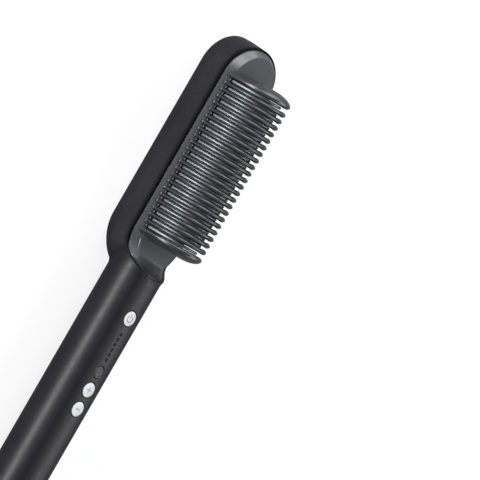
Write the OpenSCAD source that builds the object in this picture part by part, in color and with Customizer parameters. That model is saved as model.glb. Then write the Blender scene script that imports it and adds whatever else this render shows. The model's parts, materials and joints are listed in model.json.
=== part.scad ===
/* [Head] */
// Width of the head over its side walls
head_w = 45; // [42:0.5:50]
// Length of the head's heel, from the lower end guard to where it has run into the handle
heel_l = 24.64; // [24.2:0.02:32]
// Length of the rounded top end
nose_l = 20.4; // [17:0.1:22.5]
// Length over which the lower end narrows into the handle
neck_l = 24.9; // [23:0.1:28]
// Height of the front rim above the back face
rim_h = 16.8; // [15.5:0.1:18]
// How far the side walls lean in between the back and the front rim
wall_draft = 0.75; // [0.3:0.05:1.2]
// Radius of the back edge along the sides and the top
back_edge_r = 0.8; // [0.5:0.1:1]
// Radius of the back edge where the head runs into the handle
neck_edge_r = 6; // [4:0.5:7]
// Thickness of the head's side wall
head_wall = 2.2; // [1.8:0.1:2.6]
// Length of the concave ramp that climbs from the front rim onto the handle
ramp_l = 12; // [9:0.5:14]
// Steepness of that ramp
ramp_power = 1.4; // [1:0.1:2]

/* [Handle] */
// Outside diameter of the handle
handle_d = 30; // [29:0.5:32]
// Length of the handle from the head to its tail face
handle_l = 146; // [140:1:170]
// Wall of the handle tube
handle_wall = 2.2; // [1.8:0.1:2.4]
// Gap between the handle's back and the surface that the head lies on
handle_lift = 0.2; // [0:0.1:0.6]
// How far the flattened front lies under the full round
land_drop = 2; // [1.5:0.1:2.5]
// Radius of the flattened front
land_r = 32; // [28:1:40]
// Height of the flare where the handle meets the head
flare_h = 3.4; // [2:0.1:4]
// Length of that flare
flare_l = 10.5; // [9:0.5:12]

/* [Front bezel] */
// Width of the body's bare rim round the bezel
rim_w = 1; // [0.8:0.1:1.4]
// Width of the sloping chamfer between the rim and the raised face
chamfer_w = 4.6; // [3.6:0.1:5.4]
// Width of that chamfer at the round top end
chamfer_top_w = 2.6; // [2:0.1:4]
// Height of the raised face over the rim
bezel_rise = 3.7; // [3:0.1:4.4]
// Thickness of the bezel
bezel_t = 1.8; // [1.4:0.1:2.2]

/* [Comb] */
// Number of normal guard fins between the two thick end guards
guard_count = 22; // [18:1:22]
// Distance from one guard fin to the next
fin_pitch = 3.96; // [3.8:0.02:4]
// Distance from the first normal guard fin to the end guard beside it
end_gap = 4.8; // [4.4:0.1:5.2]
// Distance from the head's top to the crest of the upper end guard
comb_from_top = 20.6; // [19:0.1:24]
// How far the guard fins' feet stand in from the head's sides
guard_in = 3.1; // [2.7:0.1:3.5]
// Height of the guard fins' crests above the back face
guard_top = 45.5; // [43:0.1:48]
// Thickness of a guard fin along its flanks
guard_t = 2.2; // [2:0.05:2.3]
// Thickness of a guard fin at its crown
crown_t = 3; // [2.6:0.05:3.1]
// How far the end guards swell outward
end_guard_swell = 4.3; // [3:0.1:5]
// How far the heated fins stand in from the head's sides
hot_in = 6.3; // [6:0.1:7.5]
// Height of the heated fins' crests above the back face
hot_top = 40.6; // [38:0.1:42]
// Thickness of a heated fin
hot_t = 1.3; // [1:0.05:1.4]
// Squareness of the fins' domes, where 2 is an ellipse
dome_power = 2.3; // [2:0.1:2.6]

/* [Controls] */
// Diameter of the three pale buttons
button_d = 8.5; // [7.5:0.1:9]
// Diameter of the dark lock button
lock_d = 6.8; // [6:0.1:7.6]
// Travel of every button
button_travel = 0.35; // [0.25:0.05:0.4]
// Distance from the ramp's lower tip to the power button
power_at = 22.3; // [21:0.1:24]
// Distance from the ramp's lower tip to the first indicator
dots_at = 31.9; // [31:0.1:33]
// Distance from one indicator to the next
dot_pitch = 3.06; // [2.8:0.02:3.1]
// Diameter of an indicator
dot_d = 1.5; // [1.2:0.1:1.8]
// Number of indicators
dot_count = 6; // [4:1:6]
// Distance from the ramp's lower tip to the lock button
lock_at = 54.7; // [54:0.1:56]
// Distance from the ramp's lower tip to the plus button
plus_at = 65.4; // [65:0.1:67]
// Distance from the ramp's lower tip to the minus button
minus_at = 77; // [76:0.1:80]

/* [Back cover] */
// Width of the metal ring at the sides
ring_w = 3.1; // [2.6:0.1:3.6]
// Width of the metal ring at the round ends
ring_end_w = 4.3; // [3.6:0.1:5]
// Width of the dark rim outside the ring at the sides
back_rim_w = 1.1; // [1.1:0.1:1.6]
// Depth of the ring, which the panel shares
ring_t = 1.7; // [1.4:0.1:2]
// Thickness of the plate under the ring
cover_t = 1.5; // [1.2:0.1:1.8]

/* [Heater] */
// Thickness of the heated comb's base
hot_base_t = 3; // [2.4:0.1:3.2]
// Width of the ceramic heater
ceramic_w = 12; // [8:0.5:14]
// Length of the ceramic heater
ceramic_l = 70; // [50:1:80]
// Thickness of the ceramic heater
ceramic_t = 1.2; // [1:0.1:1.6]
// Thickness of the insulating sheet under it
mica_t = 0.4; // [0.3:0.05:0.6]
// Thickness of the steel clamp plate
clamp_t = 0.8; // [0.6:0.1:1]

/* [Board] */
// Width of the control board
board_w = 21; // [19:0.5:22]
// Length of the control board
board_l = 104; // [100:1:110]
// Thickness of the control board
board_t = 1.2; // [1:0.1:1.6]
// Height of the board's top face over the handle's axis
board_up = 3.2; // [2.6:0.1:3.6]

/* [Cord outlet] */
// Outside diameter of the swivel's neck
swivel_d = 11; // [10:0.5:12]
// How far the swivel stands out of the tail cap
swivel_out = 6; // [4:0.5:9]
// Bore that the cord goes into
cord_bore_d = 6.2; // [5:0.1:7]
// Thickness of the tail cap's end wall
cap_t = 4; // [3:0.5:5]

/* [Fits] */
// Clearance between pieces that lie in each other
gap = 0.15; // [0.1:0.01:0.2]
// Radial clearance of the swivel and the switch plungers
run_gap = 0.06; // [0.03:0.01:0.1]
// Radial clearance of a button in its hole
button_gap = 0.1; // [0.08:0.01:0.15]

/* [Hidden] */
$fn = 64;

// Main levels and places, worked out from the sizes above
comb_l = 2 * end_gap + (guard_count - 1) * fin_pitch;
head_l = comb_from_top + comb_l + heel_l;
total_l = head_l + handle_l + swivel_out;
y_top = total_l / 2;
y_low = y_top - head_l;
y_tail = y_low - handle_l;
y_nose = y_top - nose_l;
y_neck = y_low + neck_l;
axis_z = handle_d / 2 + handle_lift;
land_n = handle_d / 2 - land_drop;
land_c = land_n - land_r;
land_z = axis_z + land_n;
tongue_back = 2.4;
tip_proud = 0.6;
y_tip = y_low + tongue_back;
tip_z = land_z + tip_proud;
neck_square = 0.35;
over = 1;

// The comb's rows, from the top down
crest_top = y_top - comb_from_top;
first_guard = crest_top - end_gap;
crest_low = crest_top - comb_l;
comb_mid = (crest_top + crest_low) / 2;
guard_rows = [for (i = [0:guard_count - 1]) first_guard - i * fin_pitch];
hot_rows = concat([crest_top - end_gap / 2],
                  [for (i = [0:guard_count - 2]) first_guard - (i + 0.5) * fin_pitch],
                  [crest_low + end_gap / 2]);

// The bezel's lip, which goes down inside the body's rim, and the skin left over it
lip_depth = 2;
lip_skin = 0.7;

// The window in the bezel that the guards' plate fills
window_end = 3.7;
window_y0 = crest_low - window_end;
window_y1 = crest_top + window_end;
window_in = 5;
window_w = head_w - 2 * window_in;
window_r = 3;

// Heights of the layers under the fins
plate_drop = 0.1;
plate_t = 2.8;
plate_step = 0.6;
face_z = rim_h + bezel_rise;
plate_top = face_z - plate_drop;
plate_bot = plate_top - plate_t;
tongue_half_w = 3;
tongue_l = 3;
hot_z1 = plate_bot - plate_step - plate_drop;
hot_z0 = hot_z1 - hot_base_t;
ceramic_z0 = hot_z0 - ceramic_t;
mica_z0 = ceramic_z0 - mica_t;
clamp_z0 = mica_z0 - clamp_t;

// Half widths of the fins
guard_half_w = head_w / 2 - guard_in;
hot_half_w = head_w / 2 - hot_in;

// Edges of the fins, as shares of a fin's thickness and lengths drawn in
edge_flat = 0.1;
edge_mid = 0.36;
edge_mid_in = 0.3;
edge_in = 0.9;
hot_flat = 0.4;
hot_edge = 1;
end_guard_reach = 12;
crown_z = hot_top - 1;
crown_rise = 3;
slot_half_w = hot_half_w + gap + plate_drop;
slot_t = hot_t + 0.5;

// Screws: one small size everywhere
screw_d = 2.2;
screw_head_d = 4.2;
screw_head_h = 0.9;
screw_slot_l = 2.4;
screw_slot_w = 0.5;
screw_hole_d = screw_d + 0.4;
pilot_d = screw_d + 0.1;
post_r = 2.4;
boss_r = 2.6;
rib_t = 2.4;
rib_l = 4.6;
cover_z1 = ring_t + cover_t;
boss_z1 = 13;
top_screw = [head_w / 2 - 13.5, y_nose + 12.6];
low_screw = [head_w / 2 - 8.5, y_neck - 10.5];
rib_x = low_screw.x + 4;
cover_points = [for (p = [top_screw, low_screw]) for (s = [1, -1]) [s * p.x, p.y]];

// Heated comb's base and what is clamped under it
hot_base_half_w = hot_half_w + 0.8;
hot_end = 2.6;
hot_y0 = hot_rows[len(hot_rows) - 1] - hot_end;
hot_y1 = hot_rows[0] + hot_end;
pilot_end = 0.6;
mica_over = 0.9;
clamp_l = ceramic_l - 8;
clamp_w = 22;
ear_w = 6;
ear_l = 6;
clamp_screw_x = 8.6;
clamp_screw_in = 4;
clamp_post_r = 2.3;
clamp_rib_x = 3;
clamp_rib_w = 0.8;
clamp_points = [for (x = [-clamp_screw_x, clamp_screw_x]) for (s = [-1, 1])
    [x, comb_mid + s * (clamp_l / 2 - clamp_screw_in)]];
sensor_r = 1;
sensor_l = 7;
sensor_tip_l = 1.4;
sensor_y = comb_mid - 12;
thermal_r = 2;
thermal_l = 11;
thermal_tip_l = 1.5;
thermal_wire_l = 6;
thermal_x = 6.4;
thermal_y = comb_mid + 10;

// Heater tray
tray_wall = 1.4;
tray_ledge = 1.8;
tray_side_gap = 0.65;
tray_half_w = head_w / 2 - wall_draft - head_wall - tray_side_gap;
tray_corner_r = 1.2;
tray_floor_z = 5.6;
tray_out = 2.2;
tray_y0 = crest_low - tray_out;
tray_y1 = crest_top + tray_out;
tray_top = rim_h - lip_skin - gap;
lug_z0 = 11.4;
lug_z1 = 13.4;
lug_l = 7.5;
lug_half_w = low_screw.x - boss_r - 0.4;
tray_screw_x = lug_half_w - 3;
tray_screw_out = 2.6;
tray_points = [for (y = [window_y1 + tray_screw_out, window_y0 - tray_screw_out])
    for (x = [tray_screw_x, -tray_screw_x]) [x, y]];
tray_screw_top = rim_h + 0.6;
lead_gap_half_w = 9;
vent_pitch = 9;
vent_half_l = 8;
vent_r = 1.5;

// Back cover's stiffening ribs and the panel's crown
grid_x = [-15, -5, 5, 15];
grid_pitch = 17;
grid_t = 1.2;
grid_top = tray_floor_z - 0.6;
ring_edge = 0.35;
ring_crest = 1.4;
ring_inner_z = 0.8;
panel_crown = [[6, 0.35], [2.4, 0.45], [0.5, 0.75], [0, 1.05]];

// Controls
button_edge = 0.35;
button_proud = 0.05;
button_tab_w = 6;
button_tab_out = 1.4;
button_tab_t = 0.9;
button_tab_gap = 0.25;
under_land = land_z - handle_wall;
button_tab_z = under_land - button_tab_gap;
button_body_z = button_tab_z - button_tab_t;
stem_d = 3;
lock_ring_in = 0.7;
lock_ring_w = 0.25;
lock_mark_depth = 0.2;
lock_dot_r = 0.35;
power_y = y_tip - power_at;
lock_y = y_tip - lock_at;
plus_y = y_tip - plus_at;
minus_y = y_tip - minus_at;
switch_rows = [power_y, lock_y, plus_y, minus_y];
dot_rows = [for (i = [0:dot_count - 1]) y_tip - dots_at - i * dot_pitch];
switch_w = 6;
switch_h = 3.6;
switch_rivet_r = 0.35;
switch_rivet_h = 0.3;
plunger_d = 3.3;
plunger_h = 1.6;
plunger_proud = 0.6;
plunger_end_gap = 0.15;

// Board and what it carries
board_z1 = axis_z + board_up;
board_z0 = board_z1 - board_t;
board_y1 = power_y + 8;
board_y0 = board_y1 - board_l;
board_screw_x = 8.9;
board_screw_in = 2.8;
board_screw_l = 3.4;
board_points = [for (x = [-board_screw_x, board_screw_x])
    for (y = [board_y0 + board_screw_in, board_y1 - board_screw_in]) [x, y]];
plunger_z1 = board_z1 + switch_h + plunger_proud;
carrier_end = 2.5;
carrier_depth = 5;
carrier_bay_in = 6;
carrier_low = board_up - board_t - carrier_depth;
lead_pad_x = 3.4;
lead_pad_in = 5;
lead_pad_r = 0.6;
guide_half_w = 1.7;
guide_leg = 1.2;
guide_end = 2.1;
guide_z0 = board_z1 + switch_h;
guide_z1 = under_land - guide_leg;
guide_pin_gap = 0.15;
guide_notch = 0.25;
lamp_w = 1.6;
lamp_l = 1.2;
lamp_h = 0.5;
lamp_lens_r = 0.55;
chip_x = 6.6;
chip_w = 4;
chip_l = 3.2;
chip_t = 1.6;
chip_lift = 0.15;
chip_lead = 0.9;
chip_lead_w = 0.4;
chip_lead_pitch = 1.27;
triac_y = board_y1 - 24;
triac_half_w = 5;
triac_l = 9;
triac_t = 4.5;
triac_tab_l = 6;
triac_tab_t = 1.3;
triac_hole_r = 1.8;
triac_lead_pitch = 2.54;
film_y = board_y0 + 14;
film_w = 7;
film_l = 18;
film_h = 11;
can_y = board_y0 + 38;
can_r = 4;
can_l = 12;
can_groove = 0.35;
fuse_y = board_y0 + 56;
fuse_r = 1.9;
fuse_l = 7;
fuse_cap_l = 1.6;

// Tail
cap_y = y_tail + cap_t;
cap_edge = 1.6;
spigot_l = 8;
spigot_t = 1.6;
flange_t = 2;
flange_gap = 0.1;
flange_y0 = cap_y + flange_gap;
flange_y1 = flange_y0 + flange_t;
retainer_y0 = flange_y1 + flange_gap;
retainer_t = 1.6;
retainer_in = handle_wall + 2 * gap + spigot_t;
retainer_bore_r = 4.2;
retainer_post_r = 1.6;
retainer_screw_r = 0.8;
retainer_x = handle_d / 2 - retainer_in - retainer_post_r;
flange_r = retainer_x - retainer_post_r - 0.2;
retainer_screw_in = 2;
swivel_edge = 1.2;
swivel_groove = 0.4;
swivel_groove_w = 0.7;
swivel_grooves = [2.2, 3.8];

// Leads from the board to the heater: [distance from the board's upper end, drop under the board]
lead_run = [[-5, 0.6], [2, 1], [9, 3.5], [17, 7]];
heater_lead_x = 4;
heater_lead_in = 3.4;
heater_lead_d = 1.4;
sensor_lead_x = 1.2;
sensor_lead_in = 0.5;
sensor_lead_d = 0.9;
mains_lead_x = 3.4;
mains_lead_in = 1.2;
mains_lead_d = 1.6;
lead_rise = 2.6;
lead_bend = 8;

// Steps in the curved outlines
end_steps = 18;
dome_steps = 12;
ramp_steps = 12;
swell_steps = 6;
flare_steps = 32;
flare_rows = [-0.1, 0.2, 0.4, 0.6, 0.8, 1];

// A value bent toward a squarer curve, for superellipses
function bow(v, power) = sign(v) * pow(abs(v), 2 / power);

// How far an edge with radius r has drawn in at height z
function fall(z, r) = z < r ? r - sqrt(r * r - (r - z) * (r - z)) : 0;

// The share of the front's changes that height z has reached
function front_share(z) = max(0, min(1, (z - neck_edge_r) / (rim_h - neck_edge_r)));

// Height of the front rim at a place along the head: flat, then climbing onto the handle
function ramp(y) = let (u = (y - y_tip) / ramp_l)
    u >= 1 ? rim_h :
    u <= 0 ? tip_z : rim_h + (tip_z - rim_h) * pow((1 + cos(180 * u)) / 2, ramp_power);

// Height of the raised face over the rim at that place
function rise(y) = let (u = (y - y_tip) / ramp_l)
    bezel_rise * (u >= 1 ? 1 : u <= 0 ? 0 : sin(90 * u));

// Outline of the head: half width a, round top end and lower end of lengths top and low
function pill(a, top, low, power = 2) = concat(
    [for (i = [0:end_steps]) let (t = 180 * i / end_steps)
        [a * bow(cos(t), 2), y_nose + top * bow(sin(t), 2)]],
    [for (i = [0:end_steps]) let (t = 180 + 180 * i / end_steps)
        [a * bow(cos(t), power), y_neck + low * bow(sin(t), power)]]);

function at(outline, z) = [for (p = outline) [p.x, p.y, z]];
function draped(outline, share, lift) = [for (p = outline)
    [p.x, p.y, ramp(p.y) + share * rise(p.y) + lift]];

// The body's outline at height z, drawn in by inset
function body_outline(z, inset = 0) = let (
    side = fall(z, back_edge_r) + wall_draft * front_share(z) + inset,
    end = fall(z, neck_edge_r) + tongue_back * front_share(z) + inset,
    square = z < neck_edge_r ? z / neck_edge_r : 1 - front_share(z))
    pill(head_w / 2 - side, nose_l - side, neck_l - end, 2 + neck_square * square);

function body_ring(z, inset = 0) = at(body_outline(z, inset), z);

// The front outline drawn in by one amount at the sides and another at the ends
function front_outline(side, end) =
    pill(head_w / 2 - wall_draft - side, nose_l - wall_draft - end, neck_l - tongue_back - end);

// The ring's seat in the back, drawn in likewise
function seat_outline(side, end) =
    pill(head_w / 2 - back_rim_w - side, nose_l - back_rim_w - end,
         neck_l - neck_edge_r - (back_rim_w - back_edge_r) - end);

// Half width of the handle's section in a direction, measured from its flattened front
function section_r(t) = min(handle_d / 2,
    land_c * cos(t) + sqrt(land_r * land_r - land_c * land_c * sin(t) * sin(t)));

// Dome of a fin: half width a, from height z0 up to z1
function dome(a, z0, z1) = [for (i = [0:dome_steps]) let (t = 180 * i / dome_steps)
    [a * bow(cos(t), dome_power), z0 + (z1 - z0) * bow(sin(t), dome_power)]];

// Triangles between the rings of a loft, all with the same number of points
function wall_faces(n, from, to) = [for (i = [0:n - 1]) let (j = (i + 1) % n)
    each [[from + i, to + i, to + j], [from + i, to + j, from + j]]];
function all_walls(n, k) = [for (i = [0:k - 2]) each wall_faces(n, i * n, (i + 1) * n)];

// Strips across an outline that is alike on its left and right
function cap_faces(n, from) = let (m = n / 2 - 1, h = m / 2) concat(
    [for (s = [0, m + 1]) for (i = [s:s + h - 1]) let (j = (m - i + n) % n)
        i == s + h - 1 ? [from + i, from + i + 1, from + j]
                       : [from + i, from + i + 1, from + j - 1, from + j]],
    [[from, from + m, from + m + 1, from + n - 1]]);

// Strips across a dome's outline, from its left to its right
function fin_side(n, from) = [for (i = [0:floor(n / 2) - 1]) let (j = n - 1 - i)
    j - i == 2 ? [from + i, from + i + 1, from + j] : [from + i, from + i + 1, from + j - 1, from + j]];

// One face over a whole ring
function disc_face(n, from) = [[for (i = [0:n - 1]) from + i]];

function flipped(faces) = [for (f = faces) [for (i = [len(f) - 1:-1:0]) f[i]]];

// A solid through a row of outlines, closed at both ends
module loft(rings) {
    n = len(rings[0]);
    k = len(rings);
    polyhedron([for (r = rings) each r],
        concat(cap_faces(n, 0), flipped(cap_faces(n, (k - 1) * n)), all_walls(n, k)));
}

// A solid through a row of round rings, closed with flat discs
module round_loft(rings) {
    n = len(rings[0]);
    k = len(rings);
    polyhedron([for (r = rings) each r],
        concat(disc_face(n, 0), flipped(disc_face(n, (k - 1) * n)), all_walls(n, k)));
}

// A band through a row of outlines, closed onto itself
module band(rings) {
    n = len(rings[0]);
    k = len(rings);
    polyhedron([for (r = rings) each r],
        [for (i = [0:k - 1]) each wall_faces(n, i * n, ((i + 1) % k) * n)]);
}

// A flat piece of an outline between two heights
module slab(outline, z0, z1) {
    translate([0, 0, z0]) linear_extrude(z1 - z0) polygon(outline);
}

// A profile in the plane across the handle, drawn out along it
module along_y(y0, y1, z = 0) {
    translate([0, y1, z]) rotate([90, 0, 0]) linear_extrude(y1 - y0) children();
}

// A profile in the plane along the handle, drawn out to both sides
module along_x(w) {
    translate([-w / 2, 0, 0]) rotate([90, 0, 90]) linear_extrude(w) children();
}

module box(x0, x1, y0, y1, z0, z1) {
    translate([x0, y0, z0]) cube([x1 - x0, y1 - y0, z1 - z0]);
}

module round_box(half_w, y0, y1, z0, z1, r) {
    box(-half_w + r, half_w - r, y0, y1, z0, z1);
    box(-half_w, half_w, y0 + r, y1 - r, z0, z1);
    for (x = [-half_w + r, half_w - r]) for (y = [y0 + r, y1 - r]) pin([x, y], z0, z1, r);
}

module pin(p, z0, z1, r) {
    translate([p.x, p.y, z0]) cylinder(h = z1 - z0, r = r);
}

// The handle's section: round, with a flatter front
module handle_section(inset) {
    intersection() {
        circle(r = handle_d / 2 - inset);
        translate([0, land_c]) circle(r = land_r - inset);
    }
}

// A wire along a path of points
function unit(v) = v / norm(v);
function wire_ring(path, i, r, sides) = let (
    last = len(path) - 1,
    dir = unit(path[min(i + 1, last)] - path[max(i - 1, 0)]),
    across = unit(cross(dir, [1, 0, 0])),
    beside = cross(across, dir))
    [for (k = [0:sides - 1]) let (t = 360 * k / sides) path[i] + r * (cos(t) * beside + sin(t) * across)];

module wire(path, d) {
    round_loft([for (i = [0:len(path) - 1]) wire_ring(path, i, d / 2, 8)]);
}

// The cross slot of a screw, cut from its head's face at z
module cross_slot(p, z) {
    for (a = [0, 90]) translate([p.x, p.y, z]) rotate([0, 0, a])
        box(-screw_slot_l / 2, screw_slot_l / 2, -screw_slot_w / 2, screw_slot_w / 2,
            -screw_head_h / 2, screw_head_h / 2);
}

// A pan-head screw that points up from z0, with its head under it
module screw_up(p, z0, z1) {
    difference() {
        union() {
            pin(p, z0, z1, screw_d / 2);
            pin(p, z0 - screw_head_h, z0, screw_head_d / 2);
        }
        cross_slot(p, z0 - screw_head_h);
    }
}

// A pan-head screw that points down from z1, with its head on top
module screw_down(p, z0, z1) {
    difference() {
        union() {
            pin(p, z0, z1, screw_d / 2);
            pin(p, z1, z1 + screw_head_h, screw_head_d / 2);
        }
        cross_slot(p, z1 + screw_head_h);
    }
}

// The space over the front rim, which the ramp closes toward the handle
module over_rim() {
    high = tip_z + head_w;
    along_x(2 * head_w) polygon(concat(
        [[y_tip, high]],
        [for (i = [0:ramp_steps]) let (y = y_tip + ramp_l * i / ramp_steps) [y, ramp(y)]],
        [[y_top + over, rim_h], [y_top + over, high]]));
}

// The flare that leads the handle's tube into the head: it starts flush with the tube
module flare() {
    start = 1;
    flush = 0.12;
    intersection() {
        round_loft([for (s = flare_rows) let (
            k = 1 + (flare_h * s * abs(s) - flush) / (handle_d / 2))
            [for (i = [0:flare_steps - 1]) let (
                t = 360 * i / flare_steps,
                r = k * section_r(t > 180 ? 360 - t : t))
                [r * sin(t), y_tip - start + flare_l * s, axis_z + r * cos(t)]]]);
        box(-head_w, head_w, y_tail, y_top, 0, tip_z);
    }
}

// A hole through the handle's flattened front
module front_hole(y, r) {
    pin([0, y], under_land - over, tip_z + over, r);
}

// A screw boss on the head's wall, with the rib that ties it there
module cover_boss(p) {
    half = rib_t / 2;
    side = sign(p.x);
    difference() {
        union() {
            pin(p, cover_z1, boss_z1, boss_r);
            if (p.y > y_nose) box(p.x - half, p.x + half, p.y, p.y + rib_l, cover_z1, boss_z1);
            else box(min(p.x, side * rib_x), max(p.x, side * rib_x),
                     p.y - half, p.y + half, cover_z1, boss_z1);
        }
        pin(p, 0, boss_z1 + over, screw_hole_d / 2);
    }
}

module body_shell() {
    edge_z = back_edge_r;
    mid_z = (neck_edge_r + rim_h) / 2;
    levels = [0, edge_z / 8, edge_z / 2, edge_z, neck_edge_r / 3, neck_edge_r * 2 / 3, neck_edge_r,
              mid_z, rim_h, tip_z + over];
    inner = [cover_z1, neck_edge_r, mid_z, rim_h, tip_z + 2 * over];
    wide = button_d / 2 + button_gap;
    color("#26272b") difference() {
        union() {
            loft([for (z = levels) body_ring(z)]);
            along_y(cap_y, y_neck, axis_z) handle_section(0);
            flare();
        }
        over_rim();
        loft([for (z = inner) body_ring(z, head_wall)]);
        loft([for (lift = [-lip_depth - plate_drop, tip_proud + over])
            draped(front_outline(rim_w, rim_w), 0, lift)]);
        slab(seat_outline(0, 0), -over, cover_z1);
        along_y(cap_y - over, y_low + ramp_l * 0.75, axis_z) handle_section(handle_wall);
        for (y = [power_y, plus_y, minus_y]) front_hole(y, wide);
        front_hole(lock_y, lock_d / 2 + button_gap);
        for (y = dot_rows) front_hole(y, dot_d / 2 + button_gap / 2);
    }
    color("#26272b") for (p = cover_points) cover_boss(p);
}

module front_bezel() {
    lip = rim_w + gap;
    seat_in = rim_w + bezel_t;
    color("#4b4c50") difference() {
        union() {
            loft([
                draped(front_outline(seat_in + chamfer_w, seat_in + chamfer_top_w), 1, -bezel_t),
                draped(front_outline(seat_in, seat_in), 0, -lip_skin),
                draped(front_outline(seat_in, seat_in), 0, -lip_depth),
                draped(front_outline(lip, lip), 0, -lip_depth),
                draped(front_outline(lip, lip), 0, plate_drop),
                draped(front_outline(rim_w + chamfer_w, rim_w + chamfer_top_w), 1, 0)
            ]);
            for (p = cover_points) pin(p, boss_z1 + plate_drop, ramp(p.y) + tip_proud, post_r);
            for (p = tray_points) pin(p, lug_z1 + plate_drop, face_z - bezel_t / 2, post_r);
        }
        round_box(window_w / 2, window_y0, window_y1, plate_bot - bezel_t, face_z + over, window_r);
        for (p = cover_points) pin(p, 0, rim_h - plate_drop, pilot_d / 2);
        for (p = tray_points) pin(p, 0, tray_screw_top + plate_drop, pilot_d / 2);
    }
}

// A fin: a stack of dome outlines across it. A layer is [distance from the fin's middle, how far
// the outline is drawn in]; over crown_z the fin grows thicker by the share swell.
module fin(y, layers, half_w, foot, top, swell = 0) {
    rings = [for (layer = layers) [for (p = dome(half_w - layer[1], foot, top - layer[1]))
        [p.x, y + layer[0] * (1 + swell * max(0, min(1, (p.y - crown_z) / crown_rise))), p.y]]];
    n = len(rings[0]);
    k = len(rings);
    polyhedron([for (r = rings) each r],
        concat(fin_side(n, 0), flipped(fin_side(n, (k - 1) * n)), all_walls(n, k)));
}

// One side of a plate's layers with rounded edges, for a plate of thickness t
function half_layers(t) = [[edge_flat * t, 0], [edge_mid * t, edge_mid_in * t], [t / 2, edge_in * t]];

// Two sides as one stack, from the upper side to the lower
function stack(upper, lower) = concat(
    [for (i = [len(upper) - 1:-1:0]) upper[i]], [for (layer = lower) [-layer[0], layer[1]]]);

// The outer half of an end guard: a quarter of an ellipse
function swell_layers() = [for (i = [1:swell_steps]) let (t = 90 * i / swell_steps)
    [end_guard_swell * sin(t), end_guard_reach * (1 - cos(t))]];

module guard_fin(y) {
    side = half_layers(guard_t);
    fin(y, stack(side, side), guard_half_w, rim_h, guard_top, crown_t / guard_t - 1);
}

module end_guard(y, out) {
    side = half_layers(guard_t);
    fin(y, out > 0 ? stack(swell_layers(), side) : stack(side, swell_layers()),
        guard_half_w, rim_h, guard_top);
}

// The space that the bezel takes under the fins' feet, with its window left free
module under_feet() {
    slope = (bezel_rise - plate_drop) / (chamfer_w - gap);
    x = head_w / 2 - wall_draft - rim_w - chamfer_w;
    z = face_z + plate_drop;
    z_out = z - slope * (head_w - x);
    difference() {
        along_y(0, y_top) polygon([[-head_w, -head_w], [head_w, -head_w], [head_w, z_out], [x, z],
                                   [-x, z], [-head_w, z_out]]);
        round_box(window_w / 2 - gap, window_y0 + gap, window_y1 - gap, -head_w, z + over,
                  window_r - gap);
    }
}

module guard_comb() {
    color("#34393f") difference() {
        union() {
            difference() {
                union() {
                    for (y = guard_rows) guard_fin(y);
                    end_guard(crest_top, 1);
                    end_guard(crest_low, -1);
                }
                under_feet();
            }
            round_box(window_w / 2 - gap, window_y0 + gap, window_y1 - gap, plate_bot, plate_top,
                      window_r - gap);
            box(-tongue_half_w, tongue_half_w, window_y0 - tongue_l, window_y1 + tongue_l,
                plate_bot - plate_step, face_z - bezel_t - plate_drop);
        }
        box(-head_w, head_w, 0, y_top, 0, plate_bot - plate_step);
        for (y = hot_rows) box(-slot_half_w, slot_half_w, y - slot_t / 2, y + slot_t / 2, 0, plate_top);
    }
}

// A heated fin: a thin plate with a rounded crest, standing on the comb's base
module hot_fin(y) {
    side = [[hot_flat / 2, 0], [hot_t / 2, hot_edge]];
    fin(y, stack(side, side), hot_half_w, hot_z1 - hot_base_t / 4, hot_top);
}

module heater_comb() {
    color("#7d8894") difference() {
        union() {
            for (y = hot_rows) hot_fin(y);
            box(-hot_base_half_w, hot_base_half_w, hot_y0, hot_y1, hot_z0, hot_z1);
        }
        for (p = clamp_points) pin(p, hot_z0 - over, hot_z1 - pilot_end, pilot_d / 2);
    }
}

module ceramic_heater() {
    color("#f1ede2") box(-ceramic_w / 2, ceramic_w / 2, comb_mid - ceramic_l / 2, comb_mid + ceramic_l / 2,
                         ceramic_z0, hot_z0);
}

module mica_insulator() {
    half = ceramic_w / 2 + mica_over;
    color("#c9b48a") box(-half, half, comb_mid - clamp_l / 2, comb_mid + clamp_l / 2, mica_z0, ceramic_z0);
}

// A pressed steel plate: a flat middle, four raised ears that the screws pull on, and two ribs
module heater_clamp() {
    flat = clamp_w / 2 - ear_w;
    half_l = clamp_l / 2;
    color("#b9bcc0") difference() {
        union() {
            box(-flat, flat, comb_mid - half_l, comb_mid + half_l, clamp_z0, mica_z0);
            for (p = clamp_points) clamp_ear(p, flat);
            for (s = [-1, 1]) translate([s * clamp_rib_x, 0, 0])
                box(-clamp_rib_w / 2, clamp_rib_w / 2, comb_mid - half_l + clamp_screw_in,
                    comb_mid + half_l - clamp_screw_in, clamp_z0 - clamp_t, clamp_z0);
        }
        for (p = clamp_points) pin(p, clamp_z0 - over, hot_z0 + over, screw_hole_d / 2);
    }
}

// An ear of the clamp, with the spacer that stops it at the comb's base
module clamp_ear(p, flat) {
    side = sign(p.x);
    mica_edge = ceramic_w / 2 + mica_over + gap / 2;
    x = [side * (flat - over), p.x + side * clamp_post_r];
    box(min(x), max(x), p.y - ear_l / 2, p.y + ear_l / 2, clamp_z0, mica_z0);
    difference() {
        pin(p, clamp_z0, hot_z0 - button_proud, clamp_post_r);
        box(-mica_edge, mica_edge, p.y - ear_l, p.y + ear_l, mica_z0, hot_z0 + over);
    }
}

module clamp_screws() {
    color("silver") for (p = clamp_points) screw_up(p, clamp_z0, hot_z1 - pilot_end - gap);
}

// A glass bead sensor that lies under the clamp
module temperature_sensor() {
    z = clamp_z0 - sensor_r;
    color("#8a3b2c") along_y(sensor_y, sensor_y + sensor_l, z) circle(r = sensor_r);
    y1 = sensor_y + sensor_l;
    color("silver") along_y(y1, y1 + sensor_tip_l, z) circle(r = sensor_r * 0.7);
}

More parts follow.
